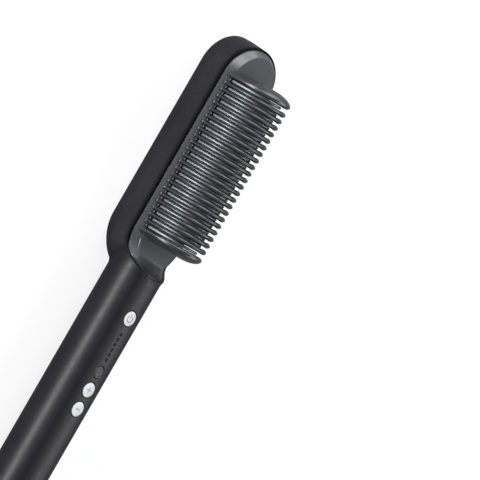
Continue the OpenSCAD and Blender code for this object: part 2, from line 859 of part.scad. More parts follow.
// A thermal fuse with a narrower nose and an axial wire at each end
module thermal_fuse() {
    y1 = thermal_y + thermal_l;
    color("#d8d5cc") translate([thermal_x, 0, clamp_z0 - thermal_r]) {
        along_y(thermal_y, y1) circle(r = thermal_r);
        along_y(y1, y1 + thermal_tip_l) circle(r = thermal_r * 0.6);
        along_y(thermal_y - thermal_wire_l, thermal_y) circle(r = thermal_r / 5);
        along_y(y1 + thermal_tip_l, y1 + thermal_wire_l) circle(r = thermal_r / 5);
    }
}

// A heat-resistant tub that carries the heated comb on two ledges
module heater_tray() {
    inner = tray_half_w - tray_wall;
    floor_z = tray_floor_z + tray_wall;
    color("#1f2023") difference() {
        union() {
            round_box(tray_half_w, tray_y0, tray_y1, tray_floor_z, tray_top, tray_corner_r);
            box(-lug_half_w, lug_half_w, tray_y0 - lug_l, tray_y0 + over, lug_z0, lug_z1);
            box(-lug_half_w, lug_half_w, tray_y1 - over, tray_y1 + lug_l, lug_z0, lug_z1);
        }
        box(-inner, inner, hot_y0 - gap, hot_y1 + gap, hot_z0, tray_top + over);
        box(tray_ledge - inner, inner - tray_ledge, hot_y0 + tray_ledge, hot_y1 - tray_ledge,
            floor_z, tray_top);
        box(-lead_gap_half_w, lead_gap_half_w, tray_y0 - over, hot_y0 + 2 * tray_ledge, floor_z,
            lug_z0 - plate_step);
        for (p = tray_points) pin(p, 0, tray_top, screw_hole_d / 2);
        for (y = [hot_y0 + vent_pitch:vent_pitch:hot_y1 - vent_pitch]) vent_slot(y);
    }
}

// A vent slot across the tub's floor
module vent_slot(y) {
    top = tray_floor_z + tray_wall + over;
    box(-vent_half_l, vent_half_l, y - vent_r, y + vent_r, 0, top);
    for (x = [-vent_half_l, vent_half_l]) pin([x, y], 0, top, vent_r);
}

module tray_screws() {
    color("silver") for (p = tray_points) screw_up(p, lug_z0, tray_screw_top);
}

// The plate under the ring and the panel, with a grid of ribs that reaches up to the tray
module rear_cover() {
    head_z = ring_t + screw_head_h;
    y0 = y_neck + 2 * grid_t;
    y1 = y_nose - 2 * grid_t;
    half = grid_t / 2;
    color("#1b1c1f") difference() {
        union() {
            slab(seat_outline(gap, gap), ring_t, cover_z1);
            for (x = grid_x) box(x - half, x + half, y0, y1, cover_z1, grid_top);
            for (y = [y0 + half:grid_pitch:y1])
                box(min(grid_x), max(grid_x), y - half, y + half, cover_z1, grid_top);
        }
        for (p = cover_points) {
            pin(p, 0, cover_z1 + over, screw_hole_d / 2);
            pin(p, 0, head_z + button_proud, screw_head_d / 2 + gap);
        }
    }
}

module rear_ring() {
    outer = seat_outline(gap, gap);
    soft = seat_outline(gap + ring_edge, gap + ring_edge);
    crest = seat_outline(gap + ring_crest, gap + ring_crest);
    inner = seat_outline(gap + ring_w, gap + ring_end_w);
    color("#d77fc0") band([at(outer, ring_edge), at(outer, ring_t), at(inner, ring_t),
                           at(inner, ring_inner_z), at(crest, 0), at(soft, 0)]);
}

// The gloss panel, softly crowned: it rises from the ring's inner edge
module rear_panel() {
    side = 2 * gap + ring_w;
    end = 2 * gap + ring_end_w;
    color("#0b0b0d") loft(concat(
        [for (c = panel_crown) at(seat_outline(side + c[0], end + c[0]), c[1])],
        [at(seat_outline(side, end), ring_t)]));
}

module cover_screws() {
    head_z = ring_t + screw_head_h + button_proud;
    color("silver") for (p = cover_points) screw_up(p, head_z, rim_h - rib_t / 4);
}

// A carrier that slides into the handle and holds the board on two side rails
module board_tray() {
    y0 = board_y0 - carrier_end;
    y1 = board_y1 + carrier_end;
    open_half_w = 7;
    bay_l = (board_l - 2.5 * carrier_bay_in) / 2;
    color("#2f3034") difference() {
        along_y(y0, y1, axis_z) intersection() {
            handle_section(handle_wall + gap);
            translate([-head_w, carrier_low]) square([2 * head_w, carrier_depth + board_t / 2]);
        }
        box(-board_w / 2 - gap, board_w / 2 + gap, board_y0 - gap, board_y1 + gap, board_z0, board_z1);
        for (y = [board_y0 + carrier_bay_in, (board_y0 + board_y1) / 2 + carrier_bay_in / 4])
            box(-open_half_w, open_half_w, y, y + bay_l, 0, board_z1);
        for (p = board_points) pin(p, board_z0 - board_screw_l, board_z1, pilot_d / 2);
        box(-lead_pad_x - over, lead_pad_x + over, y0 - over, board_y0 + carrier_bay_in + over,
            board_z0 - 2, board_z1);
        box(-open_half_w, open_half_w, board_y1 - 9, y1 + over, board_z0 - 4, board_z1);
    }
}

module control_board() {
    color("#1d5b35") difference() {
        box(-board_w / 2, board_w / 2, board_y0, board_y1, board_z0, board_z1);
        for (p = board_points) pin(p, board_z0 - over, board_z1 + over, screw_hole_d / 2);
        for (x = [-lead_pad_x, lead_pad_x])
            pin([x, board_y0 + lead_pad_in], board_z0 - over, board_z1 + over, lead_pad_r);
    }
}

module board_screws() {
    color("silver") for (p = board_points) screw_down(p, board_z0 - board_screw_l + gap, board_z1);
}

// A button: a cap with a softened edge, two tabs that hold it in, and a stem
module button(y, d) {
    r = d / 2;
    e = button_edge;
    top = land_z + button_proud;
    translate([0, y, 0]) {
        rotate_extrude() polygon(concat(
            [[0, button_body_z], [r, button_body_z], [r, top - e]],
            [for (t = [30:30:90]) [r - e + e * cos(t), top - e + e * sin(t)]],
            [[0, top]]));
        box(-button_tab_w / 2, button_tab_w / 2, -r - button_tab_out, r + button_tab_out,
            button_body_z, button_tab_z);
        translate([0, 0, plunger_z1]) cylinder(h = button_body_z - plunger_z1, d = stem_d);
    }
}

module power_button() { color("#eceded") button(power_y, button_d); }
module plus_button() { color("#eceded") button(plus_y, button_d); }
module minus_button() { color("#eceded") button(minus_y, button_d); }

module lock_button() {
    r = lock_d / 2 - lock_ring_in;
    color("#303136") difference() {
        button(lock_y, lock_d);
        translate([0, lock_y, land_z - lock_mark_depth]) difference() {
            cylinder(h = over, r = r);
            translate([0, 0, -over]) cylinder(h = 3 * over, r = r - lock_ring_w);
        }
        pin([0, lock_y], land_z - lock_mark_depth, land_z + over, lock_dot_r);
    }
}

// The moving plunger of a switch, which its button presses
module plunger(y) {
    color("#1a1a1a") pin([0, y], plunger_z1 - plunger_h, plunger_z1, plunger_d / 2);
}

module power_plunger() { plunger(power_y); }
module lock_plunger() { plunger(lock_y); }
module plus_plunger() { plunger(plus_y); }
module minus_plunger() { plunger(minus_y); }

module tact_switches() {
    h = switch_w / 2;
    top = board_z1 + switch_h;
    corner = h - 2 * switch_rivet_r;
    color("#6c6e73") for (y = switch_rows) difference() {
        box(-h, h, y - h, y + h, board_z1, top);
        pin([0, y], plunger_z1 - plunger_h - button_travel - plunger_end_gap, top + over,
            plunger_d / 2 + run_gap);
        for (x = [-corner, corner]) for (s = [-corner, corner])
            pin([x, y + s], top - switch_rivet_h, top + over, switch_rivet_r);
    }
}

// A clear bar on two legs, with a pin up to each indicator's hole and a notch between pins
module light_guide() {
    w = guide_half_w;
    y0 = dot_rows[dot_count - 1] - guide_end;
    y1 = dot_rows[0] + guide_end;
    color("#d9dde0") difference() {
        union() {
            box(-w, w, y0, y1, guide_z0, guide_z1);
            for (y = dot_rows) pin([0, y], guide_z1, land_z - guide_pin_gap, dot_d / 2);
            for (y = [y0, y1 - guide_leg]) box(-w, w, y, y + guide_leg, board_z1, guide_z0);
        }
        for (i = [0:dot_count - 2]) {
            y = (dot_rows[i] + dot_rows[i + 1]) / 2;
            box(-w - over, w + over, y - guide_notch, y + guide_notch, board_z1, guide_z0 + guide_leg);
        }
    }
}

module indicator_lamps() {
    color("#fff1c9") for (y = dot_rows) {
        box(-lamp_w / 2, lamp_w / 2, y - lamp_l / 2, y + lamp_l / 2, board_z1, board_z1 + lamp_h);
        pin([0, y], board_z1 + lamp_h, board_z1 + 2 * lamp_h, lamp_lens_r);
    }
}

// A small chip with leads on both long sides
module controller_chip() {
    half_w = chip_lead_w / 2;
    color("#202225") translate([chip_x, (plus_y + lock_y) / 2, board_z1]) {
        box(-chip_w / 2, chip_w / 2, -chip_l / 2, chip_l / 2, chip_lift, chip_t);
        for (s = [0, 1]) mirror([0, s, 0]) for (i = [-1, 0, 1]) translate([i * chip_lead_pitch, 0, 0])
            box(-half_w, half_w, chip_l / 2 - chip_lift, chip_l / 2 + chip_lead, 0, 2 * chip_lift);
    }
}

module triac() {
    w = triac_half_w;
    y1 = triac_y + triac_l;
    tab_y1 = y1 + triac_tab_l;
    color("#26282b") box(-w, w, triac_y, y1, board_z0 - triac_t, board_z0);
    color("#b9bcc0") difference() {
        box(-w, w, y1, tab_y1, board_z0 - triac_tab_t, board_z0);
        pin([0, (y1 + tab_y1) / 2], board_z0 - triac_t, board_z0 + over, triac_hole_r);
    }
    color("#b9bcc0") for (i = [-1, 0, 1]) translate([i * triac_lead_pitch, 0, board_z0 - triac_t / 2])
        box(-0.4, 0.4, triac_y - 5, triac_y, -0.3, 0.3);
}

// A boxed film capacitor with bevelled long edges
module film_capacitor() {
    w = film_w / 2;
    color("#b3862c") along_y(film_y, film_y + film_l, board_z0 - film_h) polygon([
        [-w, film_h], [-w, over], [over - w, 0], [w - over, 0], [w, over], [w, film_h]]);
}

module smoothing_capacitor() {
    z = board_z0 - can_r;
    groove_y = can_y + can_l - 3 * can_groove;
    color("#23356b") difference() {
        along_y(can_y, can_y + can_l, z) circle(r = can_r);
        along_y(groove_y - can_groove, groove_y, z) difference() {
            circle(r = can_r + over);
            circle(r = can_r - can_groove);
        }
    }
}

module line_fuse() {
    z = board_z0 - fuse_r;
    y1 = fuse_y + fuse_l;
    color("#dfe6e4") along_y(fuse_y, y1, z) circle(r = fuse_r - gap);
    color("silver") for (y = [fuse_y - fuse_cap_l, y1]) along_y(y, y + fuse_cap_l, z) circle(r = fuse_r);
}

// The first stretch of a lead, from under the board down toward the tray
function lead_start(x, z) = concat(
    [for (p = lead_run) [x, board_y1 + p[0], board_z0 - p[1]]],
    [[x, board_y1 + 3 * lead_bend, z + 0.4], [x, tray_y0, z]]);

// Leads inside, each a path of points from the board to what it feeds
module heater_leads() {
    end_y = comb_mid - ceramic_l / 2;
    z = tray_floor_z + lead_rise;
    touch_z = ceramic_z0 - heater_lead_d / 2 - gap / 3;
    color("#d9d9d2") for (s = [-1, 1]) wire(concat(lead_start(s * heater_lead_x, z), [
        [s * heater_lead_x, tray_y0 + lead_bend, z + 0.6],
        [s * heater_lead_in, end_y - lead_bend / 4, touch_z - heater_lead_d / 2],
        [s * heater_lead_in, end_y + heater_lead_d, touch_z],
        [s * heater_lead_in, end_y + lead_bend / 2, touch_z]]), heater_lead_d);
}

module sensor_leads() {
    z = tray_floor_z + lead_rise - 0.4;
    end_z = clamp_z0 - sensor_r;
    color("#c23a2c") for (s = [-1, 1]) wire(concat(lead_start(s * sensor_lead_x, z), [
        [s * sensor_lead_x, sensor_y - 2 * lead_bend, z],
        [s * sensor_lead_x, sensor_y - lead_bend, z + 0.8],
        [s * sensor_lead_in, sensor_y - lead_bend / 3, end_z],
        [s * sensor_lead_in, sensor_y, end_z]]), sensor_lead_d);
}

module mains_lead(s) {
    mid_y = (board_y0 + retainer_y0) / 2;
    z = board_z0 - mains_lead_d / 2;
    wire([[s * mains_lead_x, board_y0 + carrier_bay_in, z], [s * mains_lead_x, board_y0, z],
          [s * mains_lead_x, board_y0 - lead_bend, z - 0.2], [s * 2 * mains_lead_in, mid_y, axis_z + 0.6],
          [s * mains_lead_in, retainer_y0 + lead_bend / 2, axis_z],
          [s * mains_lead_in, flange_y1 + gap * 2, axis_z]], mains_lead_d);
}

module mains_leads() {
    color("#6b4a2b") mains_lead(-1);
    color("#2c4f9e") mains_lead(1);
}

// A quarter-round edge of radius e at the start of a turned piece of radius r
function turned_edge(r, e) = [for (t = [0:15:90]) [r - e + e * sin(t), e - e * cos(t)]];

// The tail's end wall with its round edge, a spigot that goes into the tube, and two screw posts
module tail_cap() {
    r = handle_d / 2;
    inset = handle_wall + gap;
    color("#26272b") difference() {
        union() {
            intersection() {
                along_y(y_tail, cap_y, axis_z) handle_section(0);
                translate([0, y_tail, axis_z]) rotate([-90, 0, 0])
                    rotate_extrude() polygon(concat(
                        [[0, 0]], turned_edge(r, cap_edge), [[r, cap_t], [0, cap_t]]));
            }
            along_y(cap_y, cap_y + spigot_l, axis_z) difference() {
                handle_section(inset);
                handle_section(inset + spigot_t);
            }
            for (s = [-1, 1]) translate([s * retainer_x, 0, 0])
                along_y(cap_y, retainer_y0, axis_z) circle(r = retainer_post_r);
        }
        along_y(y_tail - over, cap_y + over, axis_z) circle(r = swivel_d / 2 + run_gap);
        for (s = [-1, 1]) translate([s * retainer_x, 0, 0])
            along_y(cap_y - retainer_screw_in - gap, retainer_y0 + over, axis_z)
                circle(r = retainer_screw_r + gap / 2);
    }
}

// The cord's outlet, which turns in the tail cap: a neck, a flange and a bore
module cord_swivel() {
    r = swivel_d / 2;
    l0 = flange_y0 - y_tail + swivel_out;
    l1 = l0 + flange_t;
    color("#1d1e21") translate([0, y_tail - swivel_out, axis_z]) rotate([-90, 0, 0]) difference() {
        rotate_extrude() polygon(concat(
            [[0, 0]], turned_edge(r, swivel_edge), [[r, l0], [flange_r, l0], [flange_r, l1], [0, l1]]));
        translate([0, 0, -over]) cylinder(h = l1 + 2 * over, d = cord_bore_d);
        for (z = swivel_grooves) translate([0, 0, z]) difference() {
            cylinder(h = swivel_groove_w, r = r + over);
            translate([0, 0, -over]) cylinder(h = 3 * over, r = r - swivel_groove);
        }
    }
}

module swivel_retainer() {
    color("#3a3b3f") along_y(retainer_y0, retainer_y0 + retainer_t, axis_z) difference() {
        handle_section(retainer_in);
        circle(r = retainer_bore_r);
        for (s = [-1, 1]) translate([s * retainer_x, 0]) circle(r = retainer_screw_r + gap);
    }
}

module retainer_screws() {
    y1 = retainer_y0 + retainer_t;
    color("silver") for (s = [-1, 1]) translate([s * retainer_x, 0, 0]) {
        along_y(cap_y - retainer_screw_in, y1, axis_z) circle(r = retainer_screw_r);
        along_y(y1, y1 + screw_head_h, axis_z) circle(r = 2 * retainer_screw_r);
    }
}

body_shell();
front_bezel();
guard_comb();
heater_comb();
ceramic_heater();
mica_insulator();
heater_clamp();
clamp_screws();
temperature_sensor();
thermal_fuse();
heater_tray();
tray_screws();
rear_cover();
rear_ring();
rear_panel();
cover_screws();
board_tray();
control_board();
board_screws();
power_button();
lock_button();
plus_button();
minus_button();
power_plunger();
lock_plunger();
plus_plunger();
minus_plunger();
tact_switches();
light_guide();
indicator_lamps();
controller_chip();
triac();
film_capacitor();
smoothing_capacitor();
line_fuse();
heater_leads();
sensor_leads();
mains_leads();
tail_cap();
cord_swivel();
swivel_retainer();
retainer_screws();
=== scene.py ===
"""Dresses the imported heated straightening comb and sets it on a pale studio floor.

Sizes in the classes are millimetres in the shared frame: +Y runs from the tail to the
round top, +Z from the back face to the comb, and the back face lies at z = 0.
"""

from __future__ import annotations

import json
import logging
import math
from collections.abc import Callable
from dataclasses import dataclass, field
from enum import Enum

import bmesh
import bpy
import numpy as np
from mathutils import Matrix, Vector

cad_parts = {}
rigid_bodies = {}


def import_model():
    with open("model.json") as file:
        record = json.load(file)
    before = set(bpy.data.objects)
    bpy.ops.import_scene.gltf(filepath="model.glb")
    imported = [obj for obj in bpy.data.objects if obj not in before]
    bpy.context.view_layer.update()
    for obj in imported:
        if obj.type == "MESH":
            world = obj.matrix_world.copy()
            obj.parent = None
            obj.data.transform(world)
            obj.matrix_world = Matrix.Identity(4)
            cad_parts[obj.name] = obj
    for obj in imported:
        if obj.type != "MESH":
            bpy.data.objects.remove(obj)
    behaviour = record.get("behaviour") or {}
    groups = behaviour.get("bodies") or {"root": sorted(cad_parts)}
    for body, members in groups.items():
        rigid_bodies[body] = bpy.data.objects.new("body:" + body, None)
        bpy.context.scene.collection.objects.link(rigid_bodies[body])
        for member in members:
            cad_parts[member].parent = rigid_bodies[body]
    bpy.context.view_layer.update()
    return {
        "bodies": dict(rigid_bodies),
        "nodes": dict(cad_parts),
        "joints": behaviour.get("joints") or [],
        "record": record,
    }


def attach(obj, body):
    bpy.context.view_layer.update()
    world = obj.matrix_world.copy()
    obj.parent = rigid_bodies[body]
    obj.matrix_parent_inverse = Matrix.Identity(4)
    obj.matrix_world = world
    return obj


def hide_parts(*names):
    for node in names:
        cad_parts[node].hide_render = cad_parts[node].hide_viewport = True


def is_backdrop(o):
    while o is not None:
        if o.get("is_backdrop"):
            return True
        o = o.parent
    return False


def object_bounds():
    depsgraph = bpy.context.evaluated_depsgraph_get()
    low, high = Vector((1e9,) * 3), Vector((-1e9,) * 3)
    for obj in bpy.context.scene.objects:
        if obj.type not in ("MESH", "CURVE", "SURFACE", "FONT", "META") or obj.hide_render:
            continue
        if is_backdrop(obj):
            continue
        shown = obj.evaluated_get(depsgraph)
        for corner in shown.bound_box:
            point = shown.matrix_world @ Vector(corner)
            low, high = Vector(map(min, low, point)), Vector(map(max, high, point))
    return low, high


LOG = logging.getLogger("straightener")
MM = 0.001
FINE_MERGE = 0.001
NOISE_LOW, NOISE_HIGH = 0.3, 0.7

Points = np.ndarray
Faces = list[tuple[int, ...]]
Triple = tuple[float, float, float]
Layers = list[Triple]
Colour = Triple
Panels = tuple[Triple, ...]
Radius = Callable[[Points, Points], Points]
Socket = bpy.types.NodeSocket
Sockets = dict[str | int, object]
Thing = bpy.types.Object


class Body(str, Enum):
    """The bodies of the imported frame."""

    GRIP = "grip"
    POWER = "power_key"
    LOCK = "lock_key"
    PLUS = "plus_key"
    MINUS = "minus_key"
    SWIVEL = "swivel"


class Grain(Enum):
    """The direction of a brushed metal's grain."""

    ALONG = (6.0, 0.12, 6.0)
    TURNED = (2.0, 2.0, 2.0)
    SOFT = (0.08, 0.5, 0.5)


def smooth_max(a: Points, b: Points, blend: float) -> Points:
    """Larger of two values, with a rounded corner where they meet.

    Args:
        a: First values.
        b: Second values.
        blend: Width of the rounded corner.

    Returns:
        The blended values.
    """
    return 0.5 * (a + b + np.sqrt((a - b) ** 2 + blend * blend))


def length(points: Points) -> float:
    """Length of a line through points."""
    return float(np.linalg.norm(np.diff(points, axis=0), axis=1).sum())


def halve(low: float, high: float, below: Callable[[float], bool], steps: int = 40) -> float:
    """Where a test turns false between two values, found by halving.

    Args:
        low: A value at which the test holds.
        high: A value at which it doesn't.
        below: The test.
        steps: How often the range is halved.

    Returns:
        The value.
    """
    for _ in range(steps):
        mid = (low + high) / 2
        low, high = (mid, high) if below(mid) else (low, mid)
    return (low + high) / 2


@dataclass(frozen=True)
class Form:
    """The sizes of the head and the handle that the pieces share.

    The head's outline is straight from y_neck to y_nose, with a round top nose_l long and a
    lower end neck_l long, which is squarer by neck_square. The back edge is rounded by back_edge,
    and by neck_edge at the lower end. From neck_edge up to rim_h the flanks and the top lean in
    by draft, and the lower end by tongue. The front rim falls from tip_z to rim_h over ramp_l
    from y_tip on, and the raised face stands rise_h over it in the end. The handle's front is
    flattened by an arc of radius land_r, with its centre land_c from the axis and its crown at
    land_z. The flare starts flare_back before y_tip and adds flare_h over flare_l.
    """

    half_w: float = 22.5
    nose_l: float = 20.4
    neck_l: float = 24.9
    rim_h: float = 16.8
    draft: float = 0.75
    back_edge: float = 0.8
    neck_edge: float = 6.0
    neck_square: float = 0.35
    wall: float = 2.2
    ramp_l: float = 12.0
    ramp_power: float = 1.4
    rise_h: float = 3.7
    tongue: float = 2.4
    handle_r: float = 15.0
    axis_z: float = 15.2
    land_r: float = 32.0
    land_c: float = -19.0
    land_z: float = 28.2
    flare_h: float = 3.4
    flare_l: float = 10.5
    flare_back: float = 1.0
    y_neck: float = 31.9
    y_nose: float = 124.6
    y_tip: float = 9.4
    y_cap: float = -135.0
    tip_z: float = 28.8
    lower_steps: int = 30
    straight_steps: int = 22
    nose_steps: int = 26

    def fall(self, z: Points, r: float) -> Points:
        """How far an edge of radius r has drawn in at height z."""
        low = np.clip(z, 0.0, r)
        return r - np.sqrt(np.maximum(r * r - (r - low) ** 2, 0.0))

    def share(self, z: Points) -> Points:
        """The share of the front's changes that height z has reached."""
        return np.clip((z - self.neck_edge) / (self.rim_h - self.neck_edge), 0.0, 1.0)

    def climbed(self, y: Points) -> Points:
        """The share of the ramp's run that a place along the head has passed."""
        return np.clip((np.asarray(y, float) - self.y_tip) / self.ramp_l, 0.0, 1.0)

    def ramp(self, y: Points) -> Points:
        """Height of the front rim at a place along the head."""
        climb = ((1 + np.cos(np.pi * self.climbed(y))) / 2) ** self.ramp_power
        return self.rim_h + (self.tip_z - self.rim_h) * climb

    def rise(self, y: Points) -> Points:
        """Height of the raised face over the rim at that place."""
        return self.rise_h * np.sin(np.pi / 2 * self.climbed(y))

    def half_width(self, y: Points, z: Points, inset: float = 0.0) -> Points:
        """Half width of the head's outside at a place and height.

        Args:
            y: Places along the head.
            z: Heights over the back face.
            inset: How far the wall is drawn in.

        Returns:
            The half widths, zero beyond the head's ends.
        """
        side = self.fall(z, self.back_edge) + self.draft * self.share(z) + inset
        end = self.fall(z, self.neck_edge) + self.tongue * self.share(z) + inset
        square = np.where(z < self.neck_edge, z / self.neck_edge, 1 - self.share(z))
        power = 2 + self.neck_square * np.clip(square, 0.0, 1.0)
        low = np.clip((self.y_neck - y) / (self.neck_l - end), 0.0, 1.0)
        top = np.clip((y - self.y_nose) / (self.nose_l - side), 0.0, 1.0)
        width = (self.half_w - side) * (1 - low**power) ** (1 / power)
        return width * np.sqrt(1 - top * top)

    def half_path(self, half: float, top: float, low: float) -> Points:
        """Right half of a long round outline, from its lower end to its top.

        Args:
            half: Half width.
            top: Length of the round top.
            low: Length of the round lower end.

        Returns:
            Rows of x and y, the same number for every outline.
        """
        turn = np.linspace(0, np.pi / 2, self.lower_steps + 1)
        lower = np.column_stack([half * np.sin(turn), self.y_neck - low * np.cos(turn)])
        run = np.linspace(self.y_neck, self.y_nose, self.straight_steps + 1)[1:-1]
        straight = np.column_stack([np.full(run.size, half), run])
        turn = np.linspace(0, np.pi / 2, self.nose_steps + 1)
        nose = np.column_stack([half * np.cos(turn), self.y_nose + top * np.sin(turn)])
        path = np.vstack([lower, straight, nose])
        path[0, 0] = path[-1, 0] = 0.0
        return path

    def front_path(self, side: float, end: float) -> Points:
        """The front outline, drawn in by side at the flanks and by end at the ends."""
        half, top = self.half_w - self.draft - side, self.nose_l - self.draft - end
        return self.half_path(half, top, self.neck_l - self.tongue - end)

    def seat_path(self, side: float, end: float, rim: float = 1.1) -> Points:
        """The outline of the seat in the back, drawn in likewise."""
        low = self.neck_l - self.neck_edge - (rim - self.back_edge)
        return self.half_path(self.half_w - rim - side, self.nose_l - rim - end, low - end)


class Mesh:
    """Small helpers that turn rows of points into clean meshes."""

    @staticmethod
    def half_grid(rows: list[Points], cap_first: bool = False) -> tuple[Points, Faces]:
        """Faces between rows of the right half, and their mirror image on the left.

        Args:
            rows: Rows of x, y, z points of equal length.
            cap_first: Closes the first row with one face.

        Returns:
            Points and faces of both halves.
        """
        n = len(rows[0])
        points = np.vstack(rows)
        faces: Faces = []
        for i in range(len(rows) - 1):
            for j in range(n - 1):
                a, b = i * n + j, (i + 1) * n + j
                faces.append((a, a + 1, b + 1, b))
        if cap_first:
            faces.append(tuple(range(n)))
        left = points * np.array([-1.0, 1.0, 1.0])
        total = len(points)
        faces += [tuple(total + v for v in reversed(f)) for f in faces]
        return np.vstack([points, left]), faces

    @staticmethod
    def make(name: str, points: Points, faces: Faces, merge: float = 0.004) -> bpy.types.Mesh:
        """A merged mesh in metres with its normals outward.

        Args:
            name: Name of the mesh.
            points: Rows of x, y, z in millimetres.
            faces: Corner numbers of each face.
            merge: Distance in millimetres under which points become one.

        Returns:
            The mesh.
        """
        mesh = bpy.data.meshes.new(name)
        mesh.from_pydata((np.asarray(points) * MM).tolist(), [], faces)
        work = bmesh.new()
        work.from_mesh(mesh)
        bmesh.ops.remove_doubles(work, verts=work.verts, dist=merge * MM)
        flat = [f for f in work.faces if all(abs(v.co.x) < 1e-6 for v in f.verts)]
        bmesh.ops.delete(work, geom=flat, context="FACES")
        bmesh.ops.dissolve_degenerate(work, edges=work.edges, dist=merge * MM / 4)
        loose = [v for v in work.verts if not v.link_faces]
        bmesh.ops.delete(work, geom=loose, context="VERTS")
        bmesh.ops.recalc_face_normals(work, faces=work.faces)
        work.to_mesh(mesh)
        work.free()
        return mesh

    @staticmethod
    def smooth(mesh: bpy.types.Mesh, angle: float) -> None:
        """Smooth shading, with edges over the given angle in degrees kept sharp."""
        mesh.polygons.foreach_set("use_smooth", [True] * len(mesh.polygons))
        mesh.set_sharp_from_angle(angle=math.radians(angle))

    @staticmethod
    def lathe(profile: list[tuple[float, float]], steps: int) -> tuple[Points, Faces]:
        """A turned solid round Z through a profile of radius and height.

        Args:
            profile: Radius and height of each ring, from the bottom up.
            steps: Number of corners of a ring.

        Returns:
            Points and faces, with both ends closed.
        """
        turn = np.arange(steps) * 2 * np.pi / steps
        rings = [np.column_stack([r * np.cos(turn), r * np.sin(turn), np.full(steps, z)])
                 for r, z in profile]
        faces: Faces = []
        for i in range(len(profile) - 1):
            for j in range(steps):
                k = (j + 1) % steps
                a, b = i * steps, (i + 1) * steps
                faces.append((a + j, a + k, b + k, b + j))
        faces.append(tuple(reversed(range(steps))))
        last = (len(profile) - 1) * steps
        faces.append(tuple(last + j for j in range(steps)))
        return np.vstack(rings), faces

    @staticmethod
    def slab(outline: Points, z0: float, z1: float) -> tuple[Points, Faces]:
        """A flat piece of a closed outline between two heights.

        Args:
            outline: Rows of x and y.
            z0: Height of its lower face.
            z1: Height of its upper face.

        Returns:
            Points and faces.
        """
        n = len(outline)
        points = np.vstack([np.column_stack([outline, np.full(n, z)]) for z in (z0, z1)])
        faces: Faces = [tuple(reversed(range(n))), tuple(range(n, 2 * n))]
        faces += [(j, (j + 1) % n, n + (j + 1) % n, n + j) for j in range(n)]
        return points, faces

    @staticmethod
    def round_box(half: float, y0: float, y1: float, r: float, steps: int = 6) -> Points:
        """Closed outline of a box with round corners, centred on x = 0.

        Args:
            half: Half width.
            y0: Lower end.
            y1: Upper end.
            r: Radius of its corners.
            steps: Number of steps round a corner.

        Returns:
            Rows of x and y.
        """
        turn = np.linspace(0, np.pi / 2, steps + 1)
        corners = ((half - r, y1 - r, 0), (r - half, y1 - r, 1), (r - half, y0 + r, 2), (half - r, y0 + r, 3))
        rows = [np.column_stack([x + r * np.cos(turn + q * np.pi / 2), y + r * np.sin(turn + q * np.pi / 2)])
                for x, y, q in corners]
        return np.vstack(rows)

    @staticmethod
    def rectangle(half: float, y0: float, y1: float) -> Points:
        """Closed outline of a plain rectangle, centred on x = 0."""
        return np.array([[half, y0], [half, y1], [-half, y1], [-half, y0]])

    @staticmethod
    def draw_in(columns: list[Points], steps: int) -> list[Points]:
        """Rows across columns of points, with the first and last drawn in to the middle plane.

        Args:
            columns: Columns of equal length, from the inside of the part to its outside.
            steps: Number of columns between such a column and the middle plane.

        Returns:
            The rows.
        """
        first, last = columns[0], columns[-1]
        inward = [1 - k / steps for k in range(1, steps + 1)]
        below = [np.column_stack([first[:, 0] * k, first[:, 1:]]) for k in reversed(inward)]
        above = [np.column_stack([last[:, 0] * k, last[:, 1:]]) for k in inward]
        return list(np.stack(below + columns + above, axis=1))

    @staticmethod
    def gather(parts: list[tuple[Points, Faces]]) -> tuple[Points, Faces]:
        """Several sets of points and faces as one.

        Args:
            parts: The sets.

        Returns:
            Points and faces of all.
        """
        points: list[Points] = []
        faces: Faces = []
        total = 0
        for p, f in parts:
            points.append(p)
            faces += [tuple(total + v for v in face) for face in f]
            total += len(p)
        return np.vstack(points), faces


def place(name: str, mesh: bpy.types.Mesh) -> Thing:
    """Links a mesh to the scene as an object at the origin.

    Args:
        name: Name of the object.
        mesh: The mesh.

    Returns:
        The object.
    """
    piece = bpy.data.objects.new(name, mesh)
    bpy.context.scene.collection.objects.link(piece)
    return piece


def bake(piece: Thing) -> Thing:
    """Turns a piece's modifiers into a plain mesh and removes them.

    Args:
        piece: The piece.

    Returns:
        The same piece.
    """
    bpy.context.view_layer.update()
    graph = bpy.context.evaluated_depsgraph_get()
    mesh = bpy.data.meshes.new_from_object(piece.evaluated_get(graph))
    mesh.name = piece.name
    piece.modifiers.clear()
    piece.data = mesh
    return piece


def carve(piece: Thing, points: Points, faces: Faces) -> None:
    """Cuts a closed form out of a piece.

    Args:
        piece: The piece that is changed.
        points: Points of the form, in millimetres.
        faces: Faces of the form.
    """
    tool = place("tool", Mesh.make("tool", points, faces))
    cut = piece.modifiers.new("cut", "BOOLEAN")
    cut.operation = "DIFFERENCE"
    cut.solver = "EXACT"
    cut.object = tool
    bake(piece)
    bpy.data.objects.remove(tool)


def unite(first: Thing, others: list[Thing], name: str) -> Thing:
    """Puts several objects' meshes into the first object.

    Args:
        first: The object that is kept.
        others: The objects that go into it.
        name: Its new name.

    Returns:
        The first object.
    """
    work = bmesh.new()
    for other in (first, *others):
        work.from_mesh(other.data)
    work.to_mesh(first.data)
    work.free()
    for other in others:
        bpy.data.objects.remove(other)
    first.name = first.data.name = name
    return first


